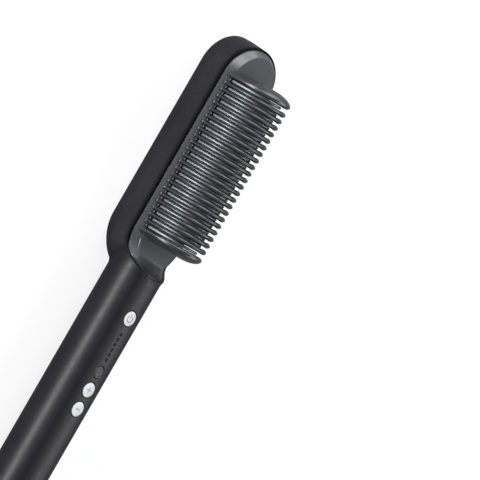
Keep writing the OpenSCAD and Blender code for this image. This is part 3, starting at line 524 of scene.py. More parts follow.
class Recipe:
    """A material's node tree, with short ways to add what the finishes share."""

    def __init__(self, name: str) -> None:
        """Starts an empty tree with its shader and its output.

        Args:
            name: Name of the material.
        """
        self.material = bpy.data.materials.new(name)
        self.material.use_nodes = True
        self.tree = self.material.node_tree
        self.tree.nodes.clear()
        self.shader = self.add("ShaderNodeBsdfPrincipled")
        self.out = self.add("ShaderNodeOutputMaterial", {"Surface": self.shader.outputs["BSDF"]})

    def fill(self, node: bpy.types.Node, sockets: Sockets) -> bpy.types.Node:
        """Gives a node's sockets their links or values.

        Args:
            node: The node.
            sockets: What each socket gets, by the socket's name or number.

        Returns:
            The node.
        """
        for key, value in sockets.items():
            if isinstance(value, Socket):
                self.tree.links.new(value, node.inputs[key])
            else:
                node.inputs[key].default_value = value
        return node

    def add(self, kind: str, sockets: Sockets | None = None, **values: object) -> bpy.types.Node:
        """Adds a node, sets its properties and fills its sockets.

        Args:
            kind: Type of the node.
            sockets: What its sockets get.
            values: Its properties.

        Returns:
            The node.
        """
        node = self.tree.nodes.new(kind)
        for key, value in values.items():
            setattr(node, key, value)
        return self.fill(node, sockets or {})

    def set(self, **values: Socket | float) -> None:
        """Fills the shader's own sockets, with _ for a space in their names."""
        self.fill(self.shader, {key.replace("_", " "): value for key, value in values.items()})

    def grid(self, stretch: Triple = (1.0, 1.0, 1.0)) -> Socket:
        """Object coordinates in millimetres, stretched along the axes.

        Args:
            stretch: Factor on each axis.

        Returns:
            The coordinates.
        """
        scale = [s / MM for s in stretch]
        coords = self.add("ShaderNodeTexCoord").outputs["Object"]
        return self.add("ShaderNodeMapping", {"Vector": coords, "Scale": scale}).outputs["Vector"]

    def noise(self, vector: Socket, scale: float, detail: float = 2.0) -> Socket:
        """Noise of a given fineness, in waves to the millimetre."""
        sockets = {"Vector": vector, "Scale": scale, "Detail": detail}
        return self.add("ShaderNodeTexNoise", sockets).outputs["Fac"]

    def cells(self, vector: Socket, scale: float) -> Socket:
        """Distance inside a pattern of random cells."""
        return self.add("ShaderNodeTexVoronoi", {"Vector": vector, "Scale": scale}).outputs["Distance"]

    def remap(self, value: Socket, low: float, high: float, to_low: float, to_high: float) -> Socket:
        """Maps a value from one range onto another, clamped."""
        ends = {"From Min": low, "From Max": high, "To Min": to_low, "To Max": to_high}
        return self.add("ShaderNodeMapRange", {"Value": value, **ends}).outputs["Result"]

    def times(self, a: Socket, b: Socket) -> Socket:
        """The product of two values."""
        return self.add("ShaderNodeMath", {0: a, 1: b}, operation="MULTIPLY").outputs[0]

    def plus(self, a: Socket, b: Socket) -> Socket:
        """The sum of two values, at most 1."""
        return self.add("ShaderNodeMath", {0: a, 1: b}, operation="ADD", use_clamp=True).outputs[0]

    def blend(self, factor: Socket, stops: list[tuple[float, Colour]]) -> Socket:
        """Colours along a factor from 0 to 1.

        Args:
            factor: The factor.
            stops: Place and colour of each stop, in rising order.

        Returns:
            The colour.
        """
        node = self.add("ShaderNodeValToRGB", {"Fac": factor})
        ramp = node.color_ramp
        while len(ramp.elements) < len(stops):
            ramp.elements.new(0.5)
        for element, (position, colour) in zip(ramp.elements, stops):
            element.position = position
            element.color = (*colour, 1.0)
        return node.outputs["Color"]

    def mix(self, factor: Socket, a: Socket, b: Colour) -> Socket:
        """One colour laid over another by a factor."""
        return self.add("ShaderNodeMix", {0: factor, 6: a, 7: (*b, 1.0)}, data_type="RGBA").outputs[2]

    def drift(self, noise: Socket, colour: Colour, dark: float, light: float) -> Socket:
        """A colour that drifts with a noise between a darker and a lighter shade of itself."""
        return self.blend(noise, [(NOISE_LOW, shade(colour, dark)), (NOISE_HIGH, shade(colour, light))])

    def sheen(self, noise: Socket, low: float, high: float) -> None:
        """Roughness that drifts with a noise."""
        self.set(Roughness=self.remap(noise, NOISE_LOW, NOISE_HIGH, low, high))

    def bump(self, height: Socket, depth: float) -> None:
        """Relief of a depth in millimetres on the shader's normal."""
        relief = self.add("ShaderNodeBump", {"Height": height, "Distance": depth * MM})
        self.set(Normal=relief.outputs["Normal"])

    def split(self, axis: str) -> Socket:
        """One object coordinate in millimetres."""
        return self.add("ShaderNodeSeparateXYZ", {"Vector": self.grid()}).outputs[axis]

    def facing(self) -> Socket:
        """How far the surface faces the front, from the object's own normal."""
        normal = self.add("ShaderNodeTexCoord").outputs["Normal"]
        return self.add("ShaderNodeSeparateXYZ", {"Vector": normal}).outputs["Z"]


def shade(colour: Colour, factor: float) -> Colour:
    """A colour made lighter or darker."""
    return tuple(min(1.0, c * factor) for c in colour)


@dataclass(frozen=True)
class Moulded:
    """Moulded plastic: a fine spark-eroded grain, a slow drift of tone and specks of dust."""

    name: str
    colour: Colour
    roughness: float = 0.35
    grain: float = 3.2
    depth: float = 0.004
    drift: float = 0.12
    specular: float = 0.5
    speck: Colour | None = None
    # painted shade: heights and places along the head of a dark, matt band under the rim
    painted_shade_z: tuple[float, float] | None = None
    painted_shade_y: tuple[float, float] = (16.0, 24.0)
    # painted shade: how dark surfaces that turn away from the front become
    painted_edge_shade: float = 1.0

    def paint(self) -> bpy.types.Material:
        """Builds the material.

        A painted shade band is a height band of the head where the surface turns matt and dark, as
        painted shade under the rim; the painted edge shade darkens what doesn't face the front.

        Returns:
            The material.
        """
        r = Recipe(self.name)
        grid = r.grid()
        slow = r.noise(grid, 0.05, 3.0)
        tone = r.drift(slow, self.colour, 1 - self.drift, 1 + self.drift)
        if self.speck:
            dust = r.remap(r.cells(grid, 0.9), 0.0, 0.07, 1.0, 0.0)
            tone = r.mix(dust, tone, self.speck)
        # painted shade on edges that turn away from the front, such as the keys' rounded rims
        if self.painted_edge_shade < 1:
            turned = r.remap(r.facing(), 0.72, 0.93, 1.0, 0.0)
            tone = r.mix(turned, tone, shade(self.colour, self.painted_edge_shade))
        r.set(Specular_IOR_Level=self.specular)
        # painted shade under the rim: darker base colour and lower specular inside the band
        if self.painted_shade_z:
            dark = r.times(r.remap(r.split("Z"), *self.painted_shade_z, 0.0, 1.0),
                           r.remap(r.split("Y"), *self.painted_shade_y, 0.0, 1.0))
            tone = r.mix(dark, tone, shade(self.colour, 0.35))
            r.set(Specular_IOR_Level=r.remap(dark, 0.0, 1.0, self.specular, 0.02))
        r.set(Base_Color=tone)
        fine = r.noise(grid, self.grain, 2.0)
        r.sheen(r.noise(grid, 0.35, 3.0), self.roughness * 0.9, self.roughness * 1.12)
        r.bump(fine, self.depth)
        return r.material


@dataclass(frozen=True)
class Lacquer:
    """Gloss plastic: a deep clear surface with a trace of flow, hairlines and dust."""

    name: str
    colour: Colour
    roughness: float = 0.08
    coat: float = 0.6

    def paint(self) -> bpy.types.Material:
        """Builds the material.

        Returns:
            The material.
        """
        r = Recipe(self.name)
        grid = r.grid()
        dust = r.remap(r.cells(grid, 0.55), 0.0, 0.05, 0.35, 0.0)
        base = r.drift(r.noise(grid, 0.04), self.colour, 0.85, 1.2)
        r.set(Base_Color=r.mix(dust, base, (0.12, 0.12, 0.13)))
        lines = r.noise(r.grid((7.0, 0.25, 7.0)), 1.0, 1.0)
        r.set(Roughness=r.remap(lines, 0.55, 0.8, self.roughness, self.roughness * 2.4))
        r.bump(r.noise(grid, 0.22, 1.0), 0.004)
        r.set(Coat_Weight=self.coat, Coat_Roughness=0.03)
        return r.material


@dataclass(frozen=True)
class Slate:
    """The bezel's lacquer: a matt face, glossier where the surface leans, with fine mineral grains, and
    painted light and shade along the tongue.
    """

    name: str
    colour: Colour
    matt: float = 0.5
    gloss: float = 0.3
    matt_specular: float = 0.25
    gloss_specular: float = 0.62
    # painted shade: the range along Y over which the tongue darkens and loses specular toward its tip
    painted_tip_shade_y: tuple[float, float] = (12.0, 17.5)
    # painted light: start, peak and end along Y of a lighter band on the tongue
    painted_light_y: tuple[float, float, float] = (14.0, 19.0, 25.0)

    def paint(self) -> bpy.types.Material:
        """Builds the material.

        Returns:
            The material.
        """
        r = Recipe(self.name)
        grid = r.grid()
        grains = r.cells(grid, 6.0)
        base = r.blend(grains, [(0.0, shade(self.colour, 1.3)), (0.5, self.colour),
                                (1.0, shade(self.colour, 0.82))])
        cloud = r.remap(r.noise(grid, 0.05, 3.0), 0.35, 0.65, 0.0, 0.25)
        base = r.mix(cloud, base, shade(self.colour, 0.78))
        along = r.split("Y")
        # painted light: a lighter band across the tongue's middle
        start, peak, end = self.painted_light_y
        light = r.times(r.remap(along, start, peak, 0.0, 0.6), r.remap(along, peak, end, 1.0, 0.0))
        base = r.mix(light, base, shade(self.colour, 2.6))
        # painted shade: the tongue's colour darkens toward its tip
        tail = r.remap(along, *self.painted_tip_shade_y, 0.8, 0.0)
        r.set(Base_Color=r.mix(tail, base, shade(self.colour, 0.2)))
        level = r.facing()
        r.set(Roughness=r.remap(level, 0.86, 0.985, self.gloss, self.matt))
        r.set(Specular_IOR_Level=self.matt_specular)
        sheen = r.remap(level, 0.86, 0.985, self.gloss_specular, self.matt_specular)
        # painted shade also lowers the specular toward the tongue's tip
        r.set(Specular_IOR_Level=r.times(sheen, r.remap(along, *self.painted_tip_shade_y, 0.3, 1.0)))
        r.bump(r.noise(grid, 3.6, 2.0), 0.0022)
        return r.material


@dataclass(frozen=True)
class Metal:
    """Metal with a brushed or turned grain and a slow drift of its shine."""

    name: str
    colour: Colour
    roughness: float = 0.3
    grain: Grain = Grain.ALONG
    metallic: float = 1.0
    depth: float = 0.003
    vary: float = 1.0

    def paint(self) -> bpy.types.Material:
        """Builds the material.

        Returns:
            The material.
        """
        r = Recipe(self.name)
        lines = r.noise(r.grid(self.grain.value), 1.0, 3.0)
        cloud = r.noise(r.grid(), 0.12, 3.0)
        base = r.blend(lines, [(0.25, shade(self.colour, 1 - 0.18 * self.vary)),
                               (0.75, shade(self.colour, 1 + 0.12 * self.vary))])
        stain = r.remap(cloud, 0.45, 0.75, 0.0, 0.3 * self.vary)
        r.set(Base_Color=r.mix(stain, base, shade(self.colour, 0.7)))
        low, high = self.roughness * (1 - 0.25 * self.vary), self.roughness * (1 + 0.3 * self.vary)
        r.set(Roughness=r.remap(lines, 0.2, 0.8, low, high))
        r.bump(lines, self.depth)
        r.set(Metallic=self.metallic)
        return r.material


@dataclass(frozen=True)
class TintedRing:
    """The ring's plated tint: pale pink along the sides, deep magenta round both ends."""

    name: str
    pale: Colour = (0.84, 0.58, 0.71)
    mid: Colour = (0.6, 0.25, 0.5)
    deep: Colour = (0.25, 0.034, 0.18)
    low_y: float = 13.4
    high_y: float = 143.8

    def paint(self) -> bpy.types.Material:
        """Builds the material.

        Returns:
            The material.
        """
        r = Recipe(self.name)
        along = r.remap(r.split("Y"), self.low_y, self.high_y, 0.0, 1.0)
        tint = r.blend(along, [(0.0, self.deep), (0.05, self.deep), (0.14, self.mid), (0.23, self.pale),
                               (0.78, self.pale), (0.87, self.mid), (0.95, self.deep), (1.0, self.deep)])
        flakes = r.remap(r.cells(r.grid(), 5.0), 0.0, 0.5, 0.35, 0.0)
        r.set(Base_Color=r.mix(flakes, tint, (0.95, 0.72, 0.86)))
        r.sheen(r.noise(r.grid((1.0, 0.2, 1.0)), 3.0, 3.0), 0.2, 0.34)
        r.bump(r.noise(r.grid(), 2.2, 3.0), 0.004)
        r.set(Metallic=0.55, Coat_Weight=0.4, Coat_Roughness=0.08)
        return r.material


@dataclass(frozen=True)
class Laminate:
    """A circuit board: woven glass under a green mask, with copper tracks and plated pads."""

    name: str
    mask: Colour = (0.012, 0.11, 0.035)
    track: Colour = (0.03, 0.2, 0.06)
    pad: Colour = (0.62, 0.6, 0.55)

    def paint(self) -> bpy.types.Material:
        """Builds the material.

        Returns:
            The material.
        """
        r = Recipe(self.name)
        mask, track = (*self.mask, 1.0), (*self.track, 1.0)
        lanes = r.add("ShaderNodeTexBrick", {"Vector": r.grid(), "Color1": mask, "Color2": mask,
                                             "Mortar": track, "Scale": 1.0, "Brick Width": 5.3,
                                             "Row Height": 1.1, "Mortar Size": 0.16}, offset=0.5, squash=1.0)
        weave = r.add("ShaderNodeTexChecker", {"Vector": r.grid(), "Scale": 2.2})
        woven = r.remap(weave.outputs["Fac"], 0.0, 1.0, 0.0, 0.12)
        green = r.mix(woven, lanes.outputs["Color"], shade(self.mask, 1.8))
        pads = r.remap(r.cells(r.grid(), 0.42), 0.12, 0.15, 1.0, 0.0)
        r.set(Base_Color=r.mix(pads, green, self.pad))
        r.bump(lanes.outputs["Fac"], 0.03)
        r.set(Roughness=r.remap(pads, 0.0, 1.0, 0.32, 0.22))
        return r.material


@dataclass(frozen=True)
class Mineral:
    """Fired ceramic or mica: a body with grains, thin layers and a dull surface."""

    name: str
    colour: Colour
    vein: Colour
    layers: float = 0.0
    roughness: float = 0.6

    def paint(self) -> bpy.types.Material:
        """Builds the material.

        Returns:
            The material.
        """
        r = Recipe(self.name)
        grid = r.grid((1.0, 1.0, 1.0 + 6 * self.layers))
        grains = r.noise(grid, 1.6, 6.0)
        base = r.blend(grains, [(0.35, shade(self.colour, 0.88)), (0.6, self.colour), (0.8, self.vein)])
        pits = r.remap(r.cells(grid, 1.8), 0.0, 0.12, 0.5, 0.0)
        r.set(Base_Color=r.mix(pits, base, shade(self.vein, 0.6)))
        r.sheen(grains, self.roughness * 0.85, self.roughness)
        r.bump(grains, 0.02)
        return r.material


@dataclass(frozen=True)
class Clear:
    """Smoked or clear plastic or glass, with flow lines inside it."""

    name: str
    colour: Colour
    roughness: float = 0.12
    transmission: float = 0.7
    specular: float = 0.5

    def paint(self) -> bpy.types.Material:
        """Builds the material.

        Returns:
            The material.
        """
        r = Recipe(self.name)
        flow = r.noise(r.grid((1.0, 0.3, 1.0)), 0.6, 3.0)
        r.set(Base_Color=r.drift(flow, self.colour, 0.85, 1.1))
        r.sheen(flow, self.roughness * 0.7, self.roughness * 1.4)
        r.bump(flow, 0.01)
        r.set(Transmission_Weight=self.transmission, IOR=1.5, Specular_IOR_Level=self.specular)
        return r.material


@dataclass(frozen=True)
class Sleeve:
    """Insulated wire or a printed sleeve: silicone with a soft sheen and faint bands."""

    name: str
    colour: Colour
    band: Colour
    pitch: float = 0.5
    roughness: float = 0.5

    def paint(self) -> bpy.types.Material:
        """Builds the material.

        Returns:
            The material.
        """
        r = Recipe(self.name)
        wave = r.add("ShaderNodeTexWave", {"Vector": r.grid(), "Scale": self.pitch, "Distortion": 0.6},
                     bands_direction="Y")
        tone = r.blend(wave.outputs["Fac"], [(0.0, shade(self.colour, 0.85)), (0.5, self.colour),
                                             (0.85, self.colour), (1.0, self.band)])
        r.set(Base_Color=tone)
        fine = r.noise(r.grid(), 2.5, 3.0)
        r.sheen(fine, self.roughness * 0.85, self.roughness * 1.1)
        r.bump(fine, 0.008)
        return r.material


@dataclass
class FinishBook:
    """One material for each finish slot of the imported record."""

    made: dict[str, bpy.types.Material] = field(default_factory=dict)

    def write(self) -> None:
        """Makes every material of the book."""
        black = (0.0066, 0.0066, 0.0086)
        dust = (0.03, 0.03, 0.034)
        book = {
            # the body's band at z 13.4 to 16.2 is painted shade under the head's rim
            "body": Moulded("satin_black", black, roughness=0.38, grain=3.0, depth=0.001, specular=0.22,
                            speck=dust, painted_shade_z=(13.4, 16.2)),
            "bezel": Slate("slate_lacquer", (0.034, 0.035, 0.041)),
            "guards": Moulded("dark_slate", (0.014, 0.0155, 0.019), roughness=0.32, grain=2.6,
                              depth=0.0002, drift=0.1, specular=0.58),
            "hot_fins": Metal("coated_fins", (0.2, 0.218, 0.245), roughness=0.46, grain=Grain.SOFT,
                              metallic=0.7, depth=0.0001, vary=0.35),
            "ceramic": Mineral("fired_ceramic", (0.86, 0.84, 0.78), (0.6, 0.57, 0.5)),
            "mica": Mineral("layered_mica", (0.52, 0.4, 0.22), (0.75, 0.62, 0.4), layers=1.0, roughness=0.4),
            "steel": Metal("pressed_steel", (0.62, 0.62, 0.63), roughness=0.34),
            "screws": Metal("screw_steel", (0.7, 0.7, 0.7), roughness=0.24, grain=Grain.TURNED),
            "sensor_glass": Clear("bead_glass", (0.3, 0.05, 0.025), roughness=0.15, transmission=0.4),
            "fuse_case": Mineral("fuse_shell", (0.68, 0.66, 0.6), (0.5, 0.48, 0.42), roughness=0.35),
            "tray": Moulded("heat_resistant_black", (0.014, 0.014, 0.016), roughness=0.55, grain=1.4,
                            depth=0.012, drift=0.2, speck=(0.11, 0.1, 0.08)),
            "cover": Moulded("plain_black", (0.013, 0.013, 0.015), roughness=0.48, grain=2.2, depth=0.008,
                             drift=0.16),
            "ring": TintedRing("tinted_ring"),
            "panel": Lacquer("gloss_black", (0.0042, 0.0042, 0.0055)),
            "carrier": Moulded("carrier_grey", (0.028, 0.029, 0.034), roughness=0.5, grain=2.4, depth=0.008,
                               drift=0.14, speck=(0.09, 0.09, 0.1)),
            "board": Laminate("green_laminate"),
            # the pale keys' rounded rims get painted shade from the edge tone
            "pale_button": Moulded("pale_key", (0.54, 0.545, 0.555), roughness=0.34, grain=3.4,
                                   depth=0.0015, drift=0.025, specular=0.3, painted_edge_shade=0.2),
            "lock_button": Moulded("dark_key", dust, roughness=0.42, grain=3.0, depth=0.002, drift=0.14,
                                   specular=0.25),
            "plunger": Moulded("plunger_black", (0.012, 0.012, 0.012), roughness=0.4, grain=2.6, drift=0.15),
            "switch": Metal("switch_can", (0.5, 0.5, 0.52), roughness=0.36),
            # the light guide's near-black colour and low specular are painted shade for the deep indicator
            # holes
            "light_guide": Clear("indicator_painted_shade", (0.008, 0.008, 0.009), roughness=0.5, transmission=0.1,
                                 specular=0.06),
            "lamps": Clear("lamp_resin", (0.9, 0.72, 0.3), roughness=0.2, transmission=0.3),
            "chip": Moulded("chip_resin", (0.018, 0.018, 0.019), roughness=0.6, grain=5.0, depth=0.01,
                            drift=0.2, specular=0.4, speck=(0.06, 0.06, 0.06)),
            "film_case": Moulded("amber_case", (0.42, 0.22, 0.03), roughness=0.36, grain=2.4, depth=0.006,
                                 speck=(0.6, 0.4, 0.1)),
            "can": Sleeve("can_sleeve", (0.02, 0.05, 0.2), (0.5, 0.52, 0.6), pitch=0.16, roughness=0.3),
            "fuse_glass": Clear("tube_glass", (0.8, 0.84, 0.82), roughness=0.06, transmission=0.8),
            "lead_white": Sleeve("white_lead", (0.66, 0.66, 0.62), (0.8, 0.8, 0.77)),
            "lead_red": Sleeve("red_lead", (0.5, 0.035, 0.02), (0.65, 0.1, 0.07)),
            "lead_mains": Sleeve("brown_lead", (0.12, 0.05, 0.02), (0.2, 0.1, 0.05)),
            "swivel": Moulded("soft_black", (0.011, 0.011, 0.012), roughness=0.5, grain=1.8, depth=0.01,
                              drift=0.18, specular=0.4, speck=(0.05, 0.05, 0.05)),
            "tail_cap": Moulded("cap_black", black, roughness=0.25, grain=3.0, depth=0.002, drift=0.14,
                                specular=0.3, speck=dust),
            "retainer": Moulded("retainer_grey", (0.04, 0.041, 0.046), roughness=0.45, grain=2.4,
                                depth=0.006, drift=0.14),
            "marks": Moulded("printed_grey", (0.26, 0.265, 0.28), roughness=0.45, grain=4.0, depth=0.001,
                             drift=0.08, specular=0.3),
        }
        for slot, finish in book.items():
            self.made[slot] = finish.paint()

    def dress(self, piece: Thing, slot: str) -> None:
        """Gives a piece one finish over its whole surface."""
        piece.data.materials.clear()
        piece.data.materials.append(self.made[slot])

    def finish(self, piece: Thing, body: Body, slot: str, node: str = "", paint: str = "") -> Thing:
        """Dresses a piece and says where it belongs.

        Args:
            piece: The piece.
            body: The body that it rides on.
            slot: The record's slot of its finish.
            node: The CAD node that it stands for, if there is one.
            paint: The book's finish, where it isn't the slot's own.

        Returns:
            The piece.
        """
        self.dress(piece, paint or slot)
        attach(piece, body.value)
        if node:
            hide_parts(node)
        return piece

    def dress_node(self, node: Thing) -> None:
        """Gives a carried-over CAD node the finish that its slot names.

        Args:
            node: The node.
        """
        for slot in node.material_slots:
            if slot.material and slot.material.name in self.made:
                slot.material = self.made[slot.material.name]


@dataclass
class Row:
    """A Geometry Nodes tree that repeats a mesh along Y and gives it its material."""

    name: str
    count: int
    pitch: float

    def tree(self) -> bpy.types.NodeTree:
        """Builds the tree with its named inputs.

        Returns:
            The tree.
        """
        tree = bpy.data.node_groups.new(self.name, "GeometryNodeTree")
        face = tree.interface
        face.new_socket("Geometry", in_out="INPUT", socket_type="NodeSocketGeometry")
        face.new_socket("Count", in_out="INPUT", socket_type="NodeSocketInt")
        face.new_socket("Pitch", in_out="INPUT", socket_type="NodeSocketFloat")
        face.new_socket("Finish", in_out="INPUT", socket_type="NodeSocketMaterial")
        face.new_socket("Geometry", in_out="OUTPUT", socket_type="NodeSocketGeometry")
        add, join = tree.nodes.new, tree.links.new
        start, end = add("NodeGroupInput"), add("NodeGroupOutput")
        step = add("ShaderNodeCombineXYZ")
        line = add("GeometryNodeMeshLine")
        line.mode = "OFFSET"
        spread = add("GeometryNodeInstanceOnPoints")
        real = add("GeometryNodeRealizeInstances")
        coat = add("GeometryNodeSetMaterial")
        join(start.outputs["Pitch"], step.inputs["Y"])
        join(start.outputs["Count"], line.inputs["Count"])
        join(step.outputs["Vector"], line.inputs["Offset"])
        join(line.outputs["Mesh"], spread.inputs["Points"])
        join(start.outputs["Geometry"], spread.inputs["Instance"])
        join(spread.outputs["Instances"], real.inputs["Geometry"])
        join(real.outputs["Geometry"], coat.inputs["Geometry"])
        join(start.outputs["Finish"], coat.inputs["Material"])
        join(coat.outputs["Geometry"], end.inputs["Geometry"])
        return tree

    def repeat(self, first: Thing, finish: bpy.types.Material) -> Thing:
        """Repeats an object's mesh and bakes the result into it.

        Args:
            first: The object that holds the first of the row.
            finish: The material of the row.

        Returns:
            The same object with the whole row as a plain mesh.
        """
        tree = self.tree()
        modifier = first.modifiers.new("row", "NODES")
        modifier.node_group = tree
        names = {s.name: s.identifier for s in tree.interface.items_tree if s.in_out == "INPUT"}
        modifier[names["Count"]] = self.count
        modifier[names["Pitch"]] = self.pitch * MM
        modifier[names["Finish"]] = finish
        return bake(first)


@dataclass
class BodyShell:
    """The one-piece housing: a tube that flares into the head's open shell.

    The front rim is rim_w wide with its bevel and steps down by rebate inside. The seat in the
    back is cover_z deep and seat_rim from the outside. The outside of a section has foot_n points
    over its first foot_run, rim_n over its last rim_run and mid_n between them, and the inside
    has inner_n. A hole is its diameter, its chamfer's depth and its chamfer's slope.
    """

    form: Form
    book: FinishBook
    rim_w: float = 1.0
    rebate: float = 2.1
    cover_z: float = 3.2
    bevel: tuple[float, float] = (0.5, 0.72)
    blend: float = 0.9
    handle_step: float = 6.0
    dense: int = 260
    settle: float = 0.72
    step_back: float = 0.5
    foot_run: float = 3.0
    rim_run: float = 1.6
    foot_n: int = 11
    mid_n: int = 34
    rim_n: int = 9
    inner_n: int = 24
    y_even: float = -12.0
    lean_shares: tuple[float, ...] = (0.15, 0.3, 0.45, 0.58, 0.7, 0.8, 0.88, 0.94, 0.98)
    tail_edge: float = 0.18
    rim_soft: float = 0.12
    seat_rim: float = 1.1
    key_hole: tuple[float, float, float] = (8.7, 0.22, 1.0)
    lock_hole: tuple[float, float, float] = (7.0, 0.2, 1.0)
    dot_hole: tuple[float, float, float] = (1.5, 0.75, 0.5)
    cut_z: float = 22.0
    cut_over: float = 1.4
    land_blend: float = 0.12
    flare_fade: float = 1.6
    far_r: float = 60.0
    halvings: int = 34
    bore_run: float = 8.0
    bevel_shares: tuple[float, ...] = (0.06, 0.14, 0.86, 0.96)
    bevel_sink: tuple[float, float] = (0.02, 0.015)
    edge_n: int = 16
    wall_n: int = 60
    fillet_n: int = 7
    fillet_share: float = 0.8
    low_turn: float = -0.7
    rim_points: int = 9
    seat_points: int = 2
    key_steps: int = 64
    dot_steps: int = 28
    crease: float = 32.0
    buttons: tuple[float, float, float] = (-12.9, -56.0, -67.6)
    lock_y: float = -45.3
    first_dot: float = -22.5
    dot_pitch: float = 3.06
    dots: int = 6

    def tube(self, y: Points, turn: Points, inset: float, flare: bool) -> Points:
        """Radius of the handle's section in a direction.

        Args:
            y: Places along the handle.
            turn: Directions from +X toward +Z, in radians.
            inset: How far the surface is drawn in.
            flare: Whether the flare into the head is added.

        Returns:
            The radii.
        """
        f = self.form
        lean = np.pi / 2 - turn
        land = f.land_c * np.cos(lean) + np.sqrt((f.land_r - inset) ** 2 - (f.land_c * np.sin(lean)) ** 2)
        r = -smooth_max(-land, np.full_like(land, inset - f.handle_r), self.land_blend) + self.land_blend / 4
        r = np.minimum(r, f.handle_r - inset)
        if flare:
            s = (y - (f.y_tip - f.flare_back)) / f.flare_l
            grow = np.where(s < 1, np.clip(s, 0, 1) ** 2, np.clip(1 - self.flare_fade * (s - 1), 0, 1))
            r = r * (1 + f.flare_h * grow / f.handle_r)
        return r

    def head(self, y: Points, turn: Points, inset: float) -> Points:
        """Distance from the handle's axis to the head's wall in a direction, by halving.

        Args:
            y: Places along the part.
            turn: Directions from +X toward +Z, in radians.
            inset: How far the wall is drawn in.

        Returns:
            The distances.
        """
        f = self.form
        low, high = np.zeros_like(turn), np.full_like(turn, self.far_r)
        for _ in range(self.halvings):
            mid = (low + high) / 2
            z = f.axis_z + mid * np.sin(turn)
            inside = (z >= 0) & (mid * np.cos(turn) <= f.half_width(y, np.maximum(z, 0), inset))
            low, high = np.where(inside, mid, low), np.where(inside, high, mid)
        return low

    def outer(self, y: Points, turn: Points) -> Points:
        """Radius of the outside: the tube and the head, blended.

        Args:
            y: Places along the part.
            turn: Directions in radians.

        Returns:
            The radii.
        """
        f = self.form
        r = smooth_max(self.tube(y, turn, 0.0, True), self.head(y, turn, 0.0), self.blend)
        r = r - self.blend**2 / 4 / np.maximum(r, 1.0)
        far = np.maximum(-np.sin(turn), 1e-6)
        return np.minimum(r, f.axis_z / far)

    def inner(self, y: Points, turn: Points) -> Points:
        """Radius of the inside: the bore and the head's inner wall.

        Args:
            y: Places along the part.
            turn: Directions in radians.

        Returns:
            The radii.
        """
        f = self.form
        bore = np.where(y < f.y_tip + self.bore_run, self.tube(y, turn, f.wall, False), 0.0)
        return np.maximum(bore, self.head(y, turn, f.wall))

    @staticmethod
    def reach(radius: Radius, y: float, turn: float) -> float:
        """One radius of a surface, at a place and in a direction."""
        return float(radius(np.array([y]), np.array([turn]))[0])

    def turn_at(self, radius: Radius, y: float, z: float, low: float, high: float) -> float:
        """The direction in which a surface reaches a height, by halving.

        Args:
            radius: Function of places and directions that gives radii.
            y: Place along the part.
            z: Height over the back face.
            low: Lowest direction.
            high: Highest direction.

        Returns:
            The direction in radians.
        """
        def under(turn: float) -> bool:
            """Whether the surface is still lower in that direction."""
            return self.form.axis_z + self.reach(radius, y, turn) * math.sin(turn) < z

        return halve(low, high, under)

    def curve(self, radius: Radius, ends: tuple[float, float], turns: tuple[float, float]) -> Points:
        """A dense curve over a surface; it leans at its back and stands upright at its front.

        Args:
            radius: Function of places and directions that gives radii.
            ends: First and last place along the part.
            turns: First and last direction.

        Returns:
            The curve's points.
        """
        share = np.linspace(0, 1, self.dense)
        turn = turns[0] + (turns[1] - turns[0]) * share
        rising = share if turns[1] > turns[0] else 1 - share
        lean = np.clip(rising / self.settle, 0, 1)
        lean = lean * lean * (3 - 2 * lean)
        back, front = ends if turns[1] > turns[0] else ends[::-1]
        y = back + (front - back) * lean
        r = radius(y, turn)
        return np.column_stack([r * np.cos(turn), y, self.form.axis_z + r * np.sin(turn)])

    @staticmethod
    def along(points: Points, marks: Points) -> Points:
        """Points at given distances along a curve.

        Args:
            points: The curve's points.
            marks: The distances from its start.

        Returns:
            The points there.
        """
        step = np.linalg.norm(np.diff(points, axis=0), axis=1)
        run = np.concatenate([[0], np.cumsum(step)])
        return np.column_stack([np.interp(marks, run, points[:, k]) for k in range(3)])

    def spread(self, points: Points, tail: float) -> Points:
        """Evenly shares a dense outer curve out, with its first and last stretch finer.

        Args:
            points: The dense curve.
            tail: The stretch at its end that is left to the rim.

        Returns:
            The points.
        """
        run = length(points)
        marks = np.concatenate([
            np.linspace(0, self.foot_run, self.foot_n),
            np.linspace(self.foot_run, run - self.rim_run, self.mid_n + 2)[1:-1],
            np.linspace(run - self.rim_run, run - tail, self.rim_n),
        ])
        return self.along(points, marks)

    def rim(self, corner: Points, below: Points, lip: Points, step: Points) -> Points:
        """The rim's bevel, its narrow flat top and the rebate behind it.

        Args:
            corner: Where the wall's outside meets the rim.
            below: The wall's last point under it.
            lip: The rim's inner edge.
            step: Foot of the rebate.

        Returns:
            The points from the wall to the rebate's foot.
        """
        down = (below - corner) / max(np.linalg.norm(below - corner), 1e-9)
        across = (lip - corner) / max(np.linalg.norm(lip - corner), 1e-9)
        deep, wide = self.bevel
        slant = across * wide - down * deep
        drop = np.array([0.0, 0.0, 1.0])
        start = corner + down * deep
        soft, (sink, draw) = self.rim_soft, self.bevel_sink
        first, second, third, last = (start + slant * share for share in self.bevel_shares)
        return np.vstack([
            first - down * sink, second, third, last - across * draw, corner + across * (wide + soft / 2),
            lip - soft * across, lip - soft * drop, lip - self.rebate * drop, step,
        ])

